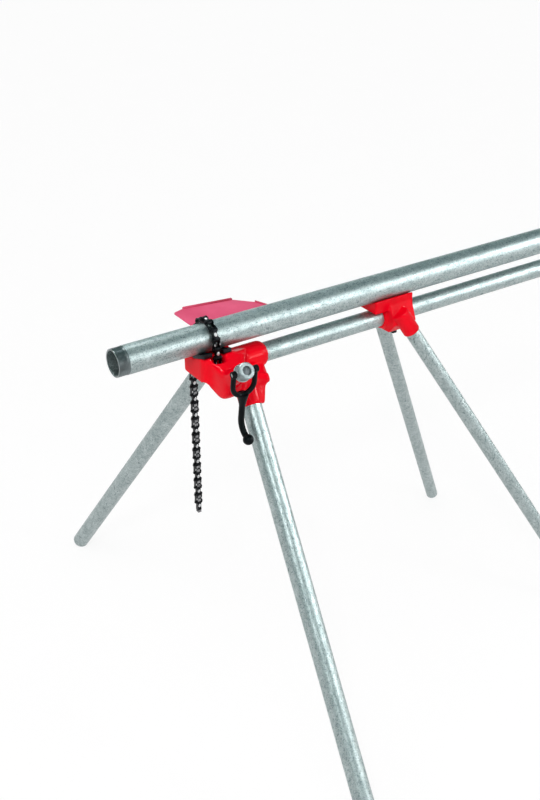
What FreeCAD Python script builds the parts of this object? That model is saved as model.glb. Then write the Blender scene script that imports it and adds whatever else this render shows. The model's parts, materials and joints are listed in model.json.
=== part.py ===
import FreeCAD, Part
import math
import os
import re
from types import SimpleNamespace

import Sketcher
from FreeCAD import Placement, Rotation, Vector

# Portable chain vise for pipe. A cast head and a cast rear support stand on four pipe legs and share a rail
# pipe; the clamped work pipe lies over both.
# Millimetres, +Z up, ground at Z = 0. The work pipe runs along Y with its threaded end at low Y, X = 0 is the
# mid-plane, and +X is the side of the draw screw and its handle. The origin is under the work pipe's middle.

os.makedirs("parts", exist_ok=True)

# ---------------------------------------------------------------- driving dimensions (mm and degrees)

SIZES = {
    # pipes: outside diameter, wall and length
    "work_od": 60.3, "work_wall": 3.9, "work_length": 1219.2,
    "thread_length": 24.0, "thread_depth": 0.6,
    "rail_od": 42.2, "rail_wall": 3.6, "rail_length": 914.4,
    "front_leg_od": 42.2, "front_leg_wall": 3.6, "front_leg_length": 1067.0,
    "rear_leg_od": 33.4, "rear_leg_wall": 3.4,
    # stance: splay opens the legs sideways, rake leans them along the pipes
    "front_splay": 37.3, "front_rake": 5.8, "rear_splay": 17.4, "rear_rake": 29.2,
    # stations and heights
    "head_station": 216.0, "rear_span": 504.0, "rail_drop": 75.5, "rail_inset": 69.0,
    "front_top_out": 58.0, "front_top_back": 51.0, "front_top_drop": 81.2,
    "rear_top_out": 47.0, "rear_top_back": -19.0, "rear_top_rise": 15.5,
    # fits
    "running": 0.05, "socket_play": 0.15, "pipe_gap": 0.3, "side_play": 0.3,
    # jaw plates: V plates with cross-cut teeth
    "jaw_slope": 20.0, "jaw_thick": 9.0, "jaw_half_width": 44.0, "jaw_length": 19.0, "slot_half": 13.5,
    "tooth_count": 6, "tooth_depth": 1.3, "jaw_screw_radius": 3.0, "jaw_screw_head": 5.0,
    "jaw_screw_out": 20.0, "jaw_screw_room": 6.5,
    # head casting
    "base_half_width": 47.0, "base_front": 34.0, "base_back": 46.0, "base_depth": 97.0,
    "base_nose_rise": 12.0, "base_nose_run": 20.0, "base_round": 13.0,
    "core_wall": 4.5, "core_top": 12.0,
    "slot_width": 24.0, "slot_rim": 10.4, "slot_depth": 60.0, "relief_width": 9.0, "relief_depth": 36.0,
    "passage_lead": 10.0, "passage_length": 55.0,
    "lobe_out": 7.6, "lobe_sink": 20.0, "lobe_radius": 34.0, "lobe_wall": 5.5, "lobe_round": 4.0,
    "boss_radius": 19.0,
    "hub_radius": 29.0, "hub_front": 30.0, "hub_mouth": 143.0, "hub_round": 18.0,
    "cheek_front": 12.0, "cheek_back": 80.0,
    "socket_wall": 4.4, "socket_cap": 10.0, "socket_depth": 66.0, "socket_round": 1.5,
    "lug_radius": 10.5, "lug_root": 17.0, "lug_reach": 52.0, "lug_down": 16.0, "lug_turn": 68.0,
    # chain
    "chain_pitch": 20.0, "plate_half": 6.0, "plate_thick": 2.2, "plate_clip": 3.4, "block_half": 5.4,
    "block_width": 9.0, "pin_radius": 2.9, "pin_length": 20.0, "pin_facets": 10,
    "near_lean": 6.0, "far_lean": 25.0, "turn_radius": 20.0, "anchor_run": 34.0, "channel_play": 2.5,
    "post_gap": 0.5, "turn_sector": 140.0, "turn_sector_start": 170.0,
    "slack_play": 1.0, "hook_pin": 15, "tail_bodies": 5, "first_run": 6, "later_run": 4, "last_run": 3,
    # hook horns on the far side
    "horn_gap": 7.6, "horn_thick": 7.0, "horn_lip": 8.0, "horn_tip": 8.0, "horn_heel": 5.0, "horn_top": 12.0,
    "horn_back": 19.0,
    # draw screw, nut and fork handle
    "screw_radius": 9.5, "screw_play": 0.25, "screw_tilt": 37.0, "nut_out": 144.5, "nut_drop": 19.6, "screw_tip": 8.0,
    "tongue_length": 8.3, "nut_radius": 17.5, "nut_half": 11.0, "nut_bevel": 2.0,
    "washer_radius": 18.5, "washer_thick": 3.0, "trunnion_radius": 4.0, "trunnion_bite": 6.5,
    "trunnion_reach": 30.0,
    "handle_lean": 8.0, "arm_out": 25.5, "arm_radius": 5.5, "arm_drop": 30.0, "eye_radius": 7.5,
    "neck_radius": 12.5, "neck_drop": 82.0, "shaft_radius": 6.6, "bend_drop": 114.0,
    "ball_drop": 149.0, "ball_out": 31.0, "ball_radius": 11.5,
    # tray and its ledge
    "tray_inner": 48.0, "tray_outer": 191.0, "tray_front": 23.0, "tray_back": 234.0, "tray_thick": 1.6,
    "tray_drop": 22.0, "front_clip_x": 9.0, "front_clip_y": 31.0, "tray_taper": 18.0, "outer_lip_back": 167.0,
    "rear_lip_out": 130.0, "rear_lip_in": 98.0, "rear_skew": 0.35, "tray_lip": 5.0, "tray_round": 10.0,
    "ledge_inner": 45.0, "ledge_outer": 82.0, "ledge_front": 17.0, "ledge_back": 70.0, "ledge_thick": 9.0,
    "tray_bolt_radius": 4.0, "tray_bolt_head": 7.5, "tray_bolt_height": 5.3, "tray_bolt_edge": 15.0,
    # rear support casting
    "rear_hub_radius": 27.5, "rear_hub_front": 48.0, "rear_hub_back": 32.0,
    "saddle_slope": 25.0, "saddle_half_width": 30.0, "saddle_front": 80.0, "saddle_back": 28.0,
    "saddle_gap": 2.4, "web_half_width": 50.0, "web_drop": 6.0, "web_front": 40.0, "web_back": 25.0,
    "rear_socket_wall": 3.3, "rear_socket_cap": 8.0, "rear_socket_depth": 50.0, "rear_round": 4.0,
    "rear_lug_radius": 8.5, "rear_lug_reach": 27.0, "rear_lug_down": 30.0, "rear_lug_turn": 125.0,
    # set screws
    "clamp_screw_radius": 5.0, "clamp_boss_radius": 10.0, "clamp_boss_drop": 15.0, "clamp_head": 11.5,
    "clamp_neck": 3.0, "leg_screw_radius": 4.5, "leg_screw_sink": 2.0, "head_clamp_back": 112.0,
}
d = SimpleNamespace(**SIZES)

doc = FreeCAD.newDocument("pipe_vise_stand")
sheet = doc.addObject("Spreadsheet::Sheet", "dims")


def record_size(row, alias, value):
    """Give one size its own row and alias in the sheet."""
    sheet.set(f"A{row}", alias)
    sheet.set(f"B{row}", str(value))
    sheet.setAlias(f"B{row}", alias)


for row, (alias, value) in enumerate(SIZES.items(), start=1):
    record_size(row, alias, value)


def derive(**sizes):
    """Add sizes that follow from the driving ones."""
    for alias, value in sizes.items():
        SIZES[alias] = value
        setattr(d, alias, value)
        record_size(len(SIZES), alias, value)


X_AXIS = Vector(1, 0, 0)
Y_AXIS = Vector(0, 1, 0)
Z_AXIS = Vector(0, 0, 1)


# ---------------------------------------------------------------- helpers


def formula(text):
    """Point each word that names a size at its sheet cell."""
    return re.sub(r"[a-z]\w*", lambda word: "dims." + word[0] if word[0] in SIZES else word[0], text)


def bind(thing, **formulas):
    """Bind properties of a document object to formulas on the sheet's sizes."""
    for name, text in formulas.items():
        thing.setExpression(name, formula(text))
    return thing


def sin(degrees):
    return math.sin(math.radians(degrees))


def cos(degrees):
    return math.cos(math.radians(degrees))


def tan(degrees):
    return math.tan(math.radians(degrees))


def in_plane(x, z):
    """A point or direction in the vertical plane across the pipes."""
    return Vector(x, 0, z)


def frame(at, x_axis, y_axis):
    """Placement whose local X and Y point along two perpendicular directions."""
    return Placement(at, Rotation(x_axis, y_axis, x_axis.cross(y_axis), "XYZ"))


def along(at, direction):
    """Placement whose local Z points along a direction."""
    return Placement(at, Rotation(Z_AXIS, direction))


def cylinder(name, radius, length, at, direction):
    """Round bar that starts at a point and runs along a direction."""
    bar = bind(doc.addObject("Part::Cylinder", name), Radius=radius, Height=length)
    bar.Placement = along(at, direction)
    return bar


def prism(name, sides, radius, length, at, direction):
    """Regular bar with flat sides; radius is to its corners."""
    bar = bind(doc.addObject("Part::Prism", name), Polygon=sides, Circumradius=radius, Height=length)
    bar.Placement = along(at, direction)
    return bar


def box(name, length, width, height, placement):
    block = bind(doc.addObject("Part::Box", name), Length=length, Width=width, Height=height)
    block.Placement = placement
    return block


def bent_bar(name, ring, bar, sweep, centre, start, heading):
    """Round bar bent about a centre; it starts on the side that start points to and sets off along heading."""
    bend = bind(doc.addObject("Part::Torus", name), Radius1=ring, Radius2=bar, Angle3=sweep)
    bend.Placement = frame(centre, start, heading)
    return bend


def combine(kind, name, first, others, merge_faces):
    """Apply one boolean after another; the last may merge faces that lie on one surface."""
    result = first
    for i, other in enumerate(others, start=1):
        step = doc.addObject(kind, f"{name}_{i}")
        step.Base, step.Tool = result, other
        step.Refine = merge_faces and i == len(others)
        result = step
    return result


def join(name, first, *others, merge_faces=True):
    """One solid from several that overlap or touch."""
    return combine("Part::Fuse", name, first, others, merge_faces)


def carve(name, blank, *tools, merge_faces=True):
    """Take tools away from a blank."""
    return combine("Part::Cut", name, blank, tools, merge_faces)


def soften(name, piece, radius, wanted):
    """Round the edges of a piece that a test picks out, to one named radius."""
    doc.recompute()
    rounded = doc.addObject("Part::Fillet", name)
    rounded.Base = piece
    size = getattr(d, radius)
    rounded.Edges = [(i, size, size) for i, edge in enumerate(piece.Shape.Edges, start=1) if wanted(edge)]
    return rounded


def bevel(name, piece, size_name, wanted):
    """Chamfer the edges of a piece that a test picks out."""
    doc.recompute()
    chamfered = doc.addObject("Part::Chamfer", name)
    chamfered.Base = piece
    size = getattr(d, size_name)
    chamfered.Edges = [(i, size, size) for i, edge in enumerate(piece.Shape.Edges, start=1) if wanted(edge)]
    return chamfered


def runs_along(edge, direction):
    """Straight edge parallel to a direction."""
    if not isinstance(edge.Curve, Part.Line):
        return False
    return abs(abs(edge.tangentAt(edge.FirstParameter).dot(direction)) - 1) < 1e-6


def sketch(body, name, role, corners):
    """Closed outline of straight sides on one of the body's origin planes; corners are pairs of formulas."""
    plane = next(item for item in body.Origin.OriginFeatures if item.Role == role)
    outline = body.newObject("Sketcher::SketchObject", name)
    outline.AttachmentSupport = [(plane, "")]
    outline.MapMode = "FlatFace"
    count = len(corners)
    start = [Vector(cos(360 * i / count), sin(360 * i / count), 0) for i in range(count)]
    for i in range(count):
        outline.addGeometry(Part.LineSegment(start[i], start[(i + 1) % count]), False)
    for i in range(count):
        outline.addConstraint(Sketcher.Constraint("Coincident", i, 2, (i + 1) % count, 1))
    for i, corner in enumerate(corners):
        for kind, text, value in zip(("DistanceX", "DistanceY"), corner, start[i]):
            row = outline.addConstraint(Sketcher.Constraint(kind, -1, 1, i, 1, value))
            outline.setExpression(f"Constraints[{row}]", formula(text))
    return outline


def pad(body, name, outline, forward, back):
    """Pad an outline by one length along its plane's normal and another against it."""
    solid = body.newObject("PartDesign::Pad", name)
    solid.Profile = outline
    solid.SideType = "Two sides"
    bind(solid, Length=forward, Length2=back)
    return solid


def slab(name, role, corners, forward, back, placement):
    """Body made of one padded outline."""
    body = doc.addObject("PartDesign::Body", name)
    pad(body, name + "_pad", sketch(body, name + "_outline", role, corners), forward, back)
    body.Placement = placement
    return body


def gather(name, pieces):
    """Several separate solids as one object."""
    group = doc.addObject("Part::Compound", name)
    group.Links = list(pieces)
    return group


def copies(name, shapes):
    """Repeated solids, already in their places, as one object."""
    group = doc.addObject("Part::Feature", name)
    group.Shape = Part.makeCompound(shapes)
    return group


def moved(shape, placement):
    """Copy of a shape, carried by a placement."""
    twin = shape.copy()
    twin.Placement = placement.multiply(twin.Placement)
    return twin


def tube(name, od, wall, length, at, direction):
    """Straight pipe, cut square."""
    outside = cylinder(name + "_outside", f"{od} / 2", length, at, direction)
    inside = cylinder(name + "_inside", f"{od} / 2 - {wall}", length, at, direction)
    return carve(name, outside, inside)


nodes = {}


def node(name, thing):
    """Keep a finished sub-part under the name of its file."""
    thing.Label = name
    nodes[name] = thing
    return thing


# ---------------------------------------------------------------- stance: where the legs put everything


def leg_direction(side, splay, rake):
    """Unit direction down a leg; side is +1 for the near leg and -1 for the far one."""
    return Vector(side * tan(splay), tan(rake), -1).normalize()


front_down = leg_direction(1, d.front_splay, -d.front_rake)
front_foot = d.front_leg_od / 2 * math.sqrt(1 - front_down.z ** 2)
work_height = front_foot - d.front_leg_length * front_down.z + d.front_top_drop
rail_height = work_height - d.rail_drop
head_y = d.head_station - d.work_length / 2
rear_y = head_y + d.rear_span
HEAD = Vector(0, head_y, work_height)
REAR = Vector(0, rear_y, rail_height)

rear_down = leg_direction(1, d.rear_splay, d.rear_rake)
rear_foot = d.rear_leg_od / 2 * math.sqrt(1 - rear_down.z ** 2)

SIDES = {"near": 1, "far": -1}


def front_top(side):
    """Centre of a front leg's top end."""
    return HEAD + Vector(side * d.front_top_out, d.front_top_back, -d.front_top_drop)


def rear_top(side):
    """Centre of a rear leg's top end."""
    return REAR + Vector(side * d.rear_top_out, d.rear_top_back, d.rear_top_rise)


def lug_direction(down, side, turn):
    """Direction square to a leg, turned from straight outward towards +Y."""
    outward = Vector(side, 0, 0)
    outward = (outward - down * outward.dot(down)).normalize()
    back = (Y_AXIS - down * Y_AXIS.dot(down) - outward * Y_AXIS.dot(outward)).normalize()
    return outward * cos(turn) + back * sin(turn)


# ---------------------------------------------------------------- chain path, in the plane across the pipes
# Points are (x, z) from the work pipe's axis. The path starts at the draw screw, turns inside the lobe, climbs
# the near slot, goes over the pipe and runs down to the hook horns.

chain_radius = math.hypot(d.work_od / 2 + d.pipe_gap + d.plate_half, d.chain_pitch / 2)
screw_out = in_plane(cos(d.screw_tilt), sin(d.screw_tilt))
screw_side = in_plane(sin(d.screw_tilt), -cos(d.screw_tilt))
nut_centre = in_plane(d.nut_out, -d.nut_drop)
near_normal = in_plane(cos(d.near_lean), sin(d.near_lean))
near_up = in_plane(-sin(d.near_lean), cos(d.near_lean))


def find_turn_centre():
    """Centre that keeps the turn tangent to the near run and to the screw's axis."""
    reach = chain_radius + d.turn_radius
    lift = d.turn_radius - sin(d.screw_tilt) * d.nut_out - cos(d.screw_tilt) * d.nut_drop
    spread = cos(d.near_lean - d.screw_tilt)
    x = (reach * cos(d.screw_tilt) - lift * sin(d.near_lean)) / spread
    z = (lift * cos(d.near_lean) + reach * sin(d.screw_tilt)) / spread
    return in_plane(x, z)


turn_centre = find_turn_centre()
turn_end = turn_centre + screw_side * d.turn_radius
turn_start = turn_centre - near_normal * d.turn_radius
pipe_start = near_normal * chain_radius
anchor = turn_end + screw_out * d.anchor_run
turn_sweep = 90 + d.screw_tilt - d.near_lean
wrap_sweep = 180 - d.near_lean - d.far_lean


def on_circle(centre, radius, angle):
    return centre + in_plane(cos(angle), sin(angle)) * radius


def path_point(run):
    """Point on the chain's path at a length from the anchor."""
    legs = [d.anchor_run, math.radians(turn_sweep) * d.turn_radius, (pipe_start - turn_start).Length,
            math.radians(wrap_sweep) * chain_radius]
    if run < legs[0]:
        return anchor - screw_out * run
    run -= legs[0]
    if run < legs[1]:
        return on_circle(turn_centre, d.turn_radius, d.screw_tilt - 90 - math.degrees(run / d.turn_radius))
    run -= legs[1]
    if run < legs[2]:
        return turn_start + near_up * run
    run -= legs[2]
    if run < legs[3]:
        return on_circle(Vector(), chain_radius, d.near_lean + math.degrees(run / chain_radius))
    run -= legs[3]
    leave = on_circle(Vector(), chain_radius, 180 - d.far_lean)
    return leave + in_plane(-sin(d.far_lean), -cos(d.far_lean)) * run


def place_pins():
    """Pin centres one pitch apart: along the path as far as the hook, then straight down."""
    runs = [0.0]
    for _ in range(d.hook_pin):
        here = path_point(runs[-1])
        low, high = runs[-1], runs[-1] + 2 * d.chain_pitch
        for _ in range(50):
            middle = (low + high) / 2
            if (path_point(middle) - here).Length < d.chain_pitch:
                low = middle
            else:
                high = middle
        runs.append(low)
    pins = [path_point(run) for run in runs]
    tail_links = d.first_run + (d.tail_bodies - 2) * d.later_run + d.last_run
    return pins + [pins[-1] - Z_AXIS * d.chain_pitch * i for i in range(1, tail_links + 1)]


pins = place_pins()
hook = pins[d.hook_pin]


# ---------------------------------------------------------------- sizes that follow from the driving ones

bend_run = d.ball_drop - d.bend_drop
grip_radius = d.work_od / 2 + d.pipe_gap
derive(
    rear_leg_length=(rail_height + d.rear_top_rise - rear_foot) / -rear_down.z,
    seat_drop=grip_radius / cos(d.jaw_slope) + d.jaw_thick,
    nut_seat=d.nut_half + d.washer_thick,
    post_radius=math.sqrt(d.turn_radius ** 2 - d.chain_pitch ** 2 / 4) - d.plate_half - d.post_gap,
    channel_radius=d.turn_radius + d.plate_half + d.channel_play,
    passage_half=d.plate_half + d.channel_play,
    hook_throat=d.pin_radius + 4 * d.running,
    lobe_reach=turn_centre.x + d.lobe_out + d.lobe_radius,
    ledge_width=d.ledge_outer - d.ledge_inner,
    ledge_length=d.ledge_back - d.ledge_front,
    rear_lip_rise=(d.rear_lip_out - d.rear_lip_in) * d.rear_skew,
    rear_lip_back=d.tray_back - (d.rear_lip_in - d.tray_inner) * d.rear_skew,
    lobe_half=d.slot_half + d.lobe_wall,
    jaw_screw_grip=d.jaw_screw_out * tan(d.jaw_slope) + d.jaw_thick / 2 + d.core_top,
    screw_length=(nut_centre - anchor).dot(screw_out) + d.screw_tip - d.tongue_length,
    neck_length=d.neck_drop - d.arm_drop - d.arm_out + d.arm_radius / 2,
    bend_radius=(bend_run ** 2 + d.ball_out ** 2) / (2 * d.ball_out),
    bend_sweep=2 * math.degrees(math.atan2(d.ball_out, bend_run)),
    saddle_apex=d.rail_drop - grip_radius / cos(d.saddle_slope),
    saddle_floor=d.rail_od / 2 + d.saddle_gap,
)
derive(boss_length=(nut_centre - turn_end).dot(screw_out) - d.nut_seat)
doc.recompute()


# ---------------------------------------------------------------- pipes


def make_work_pipe():
    """Clamped pipe with a bare, slightly thinner threaded end."""
    start = Vector(0, -d.work_length / 2, work_height)
    pipe = tube("work_plain", "work_od", "work_wall", "work_length", start, Y_AXIS)
    skin = cylinder("thread_skin", "work_od / 2 + 1", "thread_length", start, Y_AXIS)
    core = cylinder("thread_core", "work_od / 2 - thread_depth", "thread_length", start, Y_AXIS)
    return carve("work_pipe_body", pipe, carve("thread_band", skin, core))


node("work_pipe", make_work_pipe())
node("rail_pipe", tube("rail", "rail_od", "rail_wall", "rail_length",
                       Vector(0, head_y + d.rail_inset, rail_height), Y_AXIS))
for label, side in SIDES.items():
    node(label + "_front_leg", tube(label + "_front_pipe", "front_leg_od", "front_leg_wall", "front_leg_length",
                                    front_top(side), leg_direction(side, d.front_splay, -d.front_rake)))
    node(label + "_rear_leg", tube(label + "_rear_pipe", "rear_leg_od", "rear_leg_wall", "rear_leg_length",
                                   rear_top(side), leg_direction(side, d.rear_splay, d.rear_rake)))

# ---------------------------------------------------------------- chain links
# Each link lies along its own +X from one pin to the next. Even links are outer ones, which carry the pins.

def plate(name, half, thickness, middle):
    """Long plate with clipped corners, centred at a distance from the chain's mid-plane."""
    clip = f"{half} - plate_clip"
    reach = f"chain_pitch + {half}"
    corners = [
        (f"-({clip})", f"-{half}"), (f"chain_pitch + {clip}", f"-{half}"), (reach, f"-({clip})"),
        (reach, clip), (f"chain_pitch + {clip}", half), (f"-({clip})", half),
        (f"-{half}", clip), (f"-{half}", f"-({clip})"),
    ]
    side = f"{thickness} / 2"
    return slab(name, "XZ_Plane", corners, side, side, Placement(Y_AXIS * middle, Rotation()))


def faceted_pin(name, radius, x):
    """Bar through a link, as long as a chain pin; its corners are the given radius out."""
    return prism(name, "pin_facets", radius, "pin_length", Vector(x, -d.pin_length / 2, 0), Y_AXIS)


def faceted_bore(name, radius, x):
    """The same with its flats the given radius out, so that a faceted pin turns freely in it."""
    return faceted_pin(name, f"({radius}) / cos(180 deg / pin_facets)", x)


def round_bar(name, radius, x):
    """The same with a round section, for the pins that the tail swings on."""
    return cylinder(name, radius, "pin_length", Vector(x, -d.pin_length / 2, 0), Y_AXIS)


def make_outer_link(name, last_bar):
    """Two plates riveted on two pins that stand out either side."""
    middle = (d.block_width + d.plate_thick) / 2 + d.side_play
    return join(name, plate(name + "_plate", "plate_half", "plate_thick", middle),
                plate(name + "_plate_twin", "plate_half", "plate_thick", -middle),
                faceted_pin(name + "_pin_a", "pin_radius", 0), last_bar(name + "_pin_b", "pin_radius", d.chain_pitch))


def make_inner_link(name, play, first_bar):
    """Solid block link with a bore at each end."""
    block = plate(name + "_block", "block_half", "block_width", 0)
    bore = f"pin_radius + {play}"
    return carve(name, block, first_bar(name + "_bore_a", bore, 0),
                 faceted_bore(name + "_bore_b", bore, d.chain_pitch))


def link_placement(index):
    """Where a link lies: from its first pin towards its second, in the head's chain plane."""
    step = (pins[index + 1] - pins[index]).normalize()
    return frame(HEAD + pins[index], step, Y_AXIS)


def links(name, indices, plain, hinged=None, hinges=()):
    """Copies of a master link at their places along the chain; those listed in hinges take the hinged one."""
    return node(name, copies(name, [moved((hinged if i in hinges else plain).Shape, link_placement(i))
                                    for i in indices]))


outer_link = make_outer_link("outer_link", faceted_pin)
hinge_outer_link = make_outer_link("hinge_outer_link", round_bar)
inner_link = make_inner_link("inner_link", "running", faceted_bore)
hinge_inner_link = make_inner_link("hinge_inner_link", "running", round_bar)
slack_link = make_inner_link("slack_link", "slack_play", faceted_bore)
doc.recompute()

tail_starts = [d.hook_pin] + [d.hook_pin + d.first_run + number * d.later_run for number in range(d.tail_bodies - 1)]
tail_ends = tail_starts[1:] + [tail_starts[-1] + d.last_run]
before_tail_starts = [index - 1 for index in tail_starts]
links("chain_first_link", [0], outer_link)
links("chain_slack_link", [1], slack_link)
links("chain_loop_outer_links", range(2, d.hook_pin, 2), outer_link, hinge_outer_link, before_tail_starts)
links("chain_loop_inner_links", range(3, d.hook_pin, 2), inner_link)
for number, (first, last) in enumerate(zip(tail_starts, tail_ends), start=1):
    links(f"chain_tail_{number}_inner_links", range(first, last, 2), inner_link, hinge_inner_link, tail_starts)
    links(f"chain_tail_{number}_outer_links", range(first + 1, last, 2), outer_link, hinge_outer_link,
          before_tail_starts)


# ---------------------------------------------------------------- jaw plates

JAW_RISE = "tan(jaw_slope * 1 deg)"


def jaw_screw_seat(side, front):
    """Centre of a jaw screw's hole on the underside of its jaw."""
    rise = d.jaw_screw_out * tan(d.jaw_slope)
    return HEAD + Vector(side * d.jaw_screw_out, front + d.jaw_length / 2, rise - d.seat_drop)


def make_groove(name, y, side):
    """Cutter for one tooth gap, from the V's bottom up one side."""
    slope = in_plane(side * cos(d.jaw_slope), sin(d.jaw_slope))
    up = in_plane(-side * sin(d.jaw_slope), cos(d.jaw_slope))
    groove = prism(name, "4", "tooth_depth", "jaw_half_width * 1.2", Vector(), Z_AXIS)
    bottom = HEAD + Vector(0, y, d.jaw_thick - d.seat_drop)
    groove.Placement = frame(bottom, up, slope.cross(up))
    return groove


def make_jaw(name, front):
    """V plate with teeth cut across both faces; front is its low-Y end, counted from the chain plane."""
    edge = f"jaw_half_width * {JAW_RISE} - seat_drop"
    corners = [
        ("0", "-seat_drop"), ("jaw_half_width", edge), ("jaw_half_width", edge + " + jaw_thick"),
        ("0", "jaw_thick - seat_drop"), ("-jaw_half_width", edge + " + jaw_thick"), ("-jaw_half_width", edge),
    ]
    centre = HEAD + Y_AXIS * (front + d.jaw_length / 2)
    blank = slab(name + "_blank", "XZ_Plane", corners, "jaw_length / 2", "jaw_length / 2",
                 Placement(centre, Rotation()))
    tools = []
    for label, side in SIDES.items():
        for i in range(d.tooth_count):
            y = front + (i + 0.5) * d.jaw_length / d.tooth_count
            tools.append(make_groove(f"{name}_{label}_groove_{i + 1}", y, side))
        below = jaw_screw_seat(side, front) - Z_AXIS * d.jaw_thick / 2
        tools.append(cylinder(f"{name}_{label}_hole", "jaw_screw_radius", "jaw_thick", below, Z_AXIS))
    return carve(name + "_cut", blank, *tools)


JAW_FRONTS = {"front_jaw": -d.slot_half - d.jaw_length, "rear_jaw": d.slot_half}
for label, front in JAW_FRONTS.items():
    node(label, make_jaw(label, front))


# ---------------------------------------------------------------- head casting

NUT = HEAD + nut_centre
lobe_centre = turn_centre + in_plane(d.lobe_out, -d.lobe_sink)
LOBE_ANGLES = (-100, -70, -40, -10, 20, 50, 75)


def make_base_block():
    """Body under the jaws: V seat on top, rounded below, nose cut back, hollow inside."""
    edge = f"base_half_width * {JAW_RISE} - seat_drop"
    corners = [
        ("0", "-seat_drop"), ("-base_half_width", edge), ("-base_half_width", "-base_depth"),
        ("base_half_width", "-base_depth"), ("base_half_width", edge),
    ]
    place = Placement(HEAD, Rotation())
    block = slab("base_block", "XZ_Plane", corners, "base_front", "base_back", place)
    floor = HEAD.z - d.base_depth + 1
    block = soften("base_bottom", block, "base_round",
                   lambda edge: runs_along(edge, Y_AXIS) and edge.CenterOfMass.z < floor)
    block = soften("base_corners", block, "base_round", lambda edge: runs_along(edge, Z_AXIS))
    nose = [
        ("-base_front - base_nose_run", "-base_depth - base_nose_run"),
        ("base_nose_run - base_front", "-base_depth - base_nose_run"),
        ("base_nose_run - base_front", "-base_depth"), ("-base_front", "base_nose_rise - base_depth"),
        ("-base_front - base_nose_run", "base_nose_rise - base_depth"),
    ]
    block = carve("base_nose", block, slab("nose_cutter", "YZ_Plane", nose, "base_half_width + 1",
                                           "base_half_width + 1", place))
    corner = HEAD + Vector(d.core_wall - d.base_half_width, d.core_wall - d.base_front, -d.base_depth - 1)
    core = box("base_core", "2 * (base_half_width - core_wall)", "base_front + base_back - 2 * core_wall",
               "base_depth - seat_drop - core_top + 1", Placement(corner, Rotation()))
    return carve("base_hollow", block, core)


def rounded_bar(name, radius, length, at, direction, rim, ends):
    """Round bar with one or both of its rims rounded; ends picks rims by their distance along the bar."""
    bar = cylinder(name + "_bar", radius, length, at, direction)
    return soften(name, bar, rim, lambda edge: edge.isClosed() and ends((edge.CenterOfMass - at).dot(direction)))


def make_head_socket(label, side):
    down = leg_direction(side, d.front_splay, -d.front_rake)
    start = front_top(side) - down * d.socket_cap
    return rounded_bar(label + "_head_socket", "front_leg_od / 2 + socket_wall", "socket_cap + socket_depth",
                       start, down, "socket_round", lambda run: True)


def make_lug(label, side, down, top, drop, turn, radius, reach):
    """Boss for a leg's set screw."""
    return cylinder(label, radius, reach, top + down * drop, lug_direction(down, side, turn))


def make_flared_lug(label, side, down, top):
    """The head's set screw boss, which spreads where it meets the socket."""
    lug = bind(doc.addObject("Part::Cone", label + "_head_lug"), Radius1="lug_root", Radius2="lug_radius",
               Height="lug_reach")
    lug.Placement = along(top + down * d.lug_down, lug_direction(down, side, d.lug_turn))
    return lug


def make_horn(label, side):
    """Hook horn beside the chain, drawn about the hook pin's centre."""
    corners = [
        ("-hook_throat - horn_lip", "horn_tip"), ("-hook_throat - horn_lip", "-horn_heel"),
        ("-hook_throat", "-hook_throat - horn_lip"), ("horn_back", "-hook_throat - horn_lip"),
        ("horn_back", "horn_top"), ("hook_throat", "horn_top"), ("0", "horn_tip"),
    ]
    middle = Y_AXIS * side * (d.horn_gap + d.horn_thick / 2)
    return slab(label + "_horn", "XZ_Plane", corners, "horn_thick / 2", "horn_thick / 2",
                Placement(HEAD + hook + middle, Rotation()))


def make_cheeks():
    """Metal that carries the base's near side out to the lobe, sloped in the side view and in plan."""
    edge = f"(base_half_width - base_round / 2) * {JAW_RISE} - seat_drop - core_wall"
    rim = [on_circle(lobe_centre, d.lobe_radius, angle) for angle in LOBE_ANGLES]
    side_view = [("core_wall", "-seat_drop - core_wall"), ("core_wall", "-base_depth + base_round")]
    side_view += [(str(point.x), str(point.z)) for point in rim]
    side_view.append(("base_half_width - base_round / 2", edge))
    plan = [
        ("core_wall", "base_round - base_front"), ("base_half_width", "base_round - base_front"),
        ("lobe_reach", "-cheek_front"), ("lobe_reach", "lobe_half"), ("hub_radius", "cheek_back"),
        ("core_wall", "cheek_back"),
    ]
    drawn = slab("cheek_side", "XZ_Plane", side_view, "base_front", "cheek_back", Placement(HEAD, Rotation()))
    below = Placement(HEAD - Z_AXIS * 2 * d.base_depth, Rotation())
    return combine("Part::Common", "cheeks", drawn, [slab("cheek_plan", "XY_Plane", plan, "2 * base_depth",
                                                          "core_wall", below)], True)


def make_turn_channel():
    """Hollow that the chain turns through, with the turn post left standing."""
    right = HEAD + Y_AXIS * d.slot_half
    hollow = cylinder("lobe_hollow", "lobe_radius - lobe_wall", "2 * slot_half", right + lobe_centre, -Y_AXIS)
    sector = cylinder("turn_sector", "channel_radius", "2 * slot_half", Vector(), Z_AXIS)
    bind(sector, Angle="turn_sector")
    sector.Placement = frame(right + turn_centre, on_circle(Vector(), 1, d.turn_sector_start),
                             on_circle(Vector(), 1, d.turn_sector_start + 90))
    post = cylinder("turn_post", "post_radius", "2 * slot_half", right + turn_centre, -Y_AXIS)
    return carve("turn_channel", join("turn_space", hollow, sector), post)


def make_screw_passage():
    """Straight hollow for the draw screw and the chain links behind it."""
    start = turn_end - screw_out * d.passage_lead
    corner = HEAD + start + screw_side * d.passage_half - Y_AXIS * d.slot_half
    room = box("passage", "passage_length", "2 * slot_half", "2 * passage_half",
               frame(corner, screw_out, Y_AXIS))
    bore = cylinder("screw_bore", "screw_radius + screw_play", "boss_length",
                    HEAD + turn_end + screw_out * d.anchor_run, screw_out)
    return join("screw_passage", room, bore)


def block_at(name, corner, length, width, height):
    """Upright block given by its lowest corner in the head's frame and its sizes."""
    return box(name, length, width, height, Placement(HEAD + corner, Rotation()))


def clamp_boss(label, at):
    """Boss under a hub for the set screw that grips the rail."""
    return cylinder(label + "_clamp_boss", "clamp_boss_radius", "rail_od / 2 + clamp_boss_drop", at, -Z_AXIS)


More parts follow.
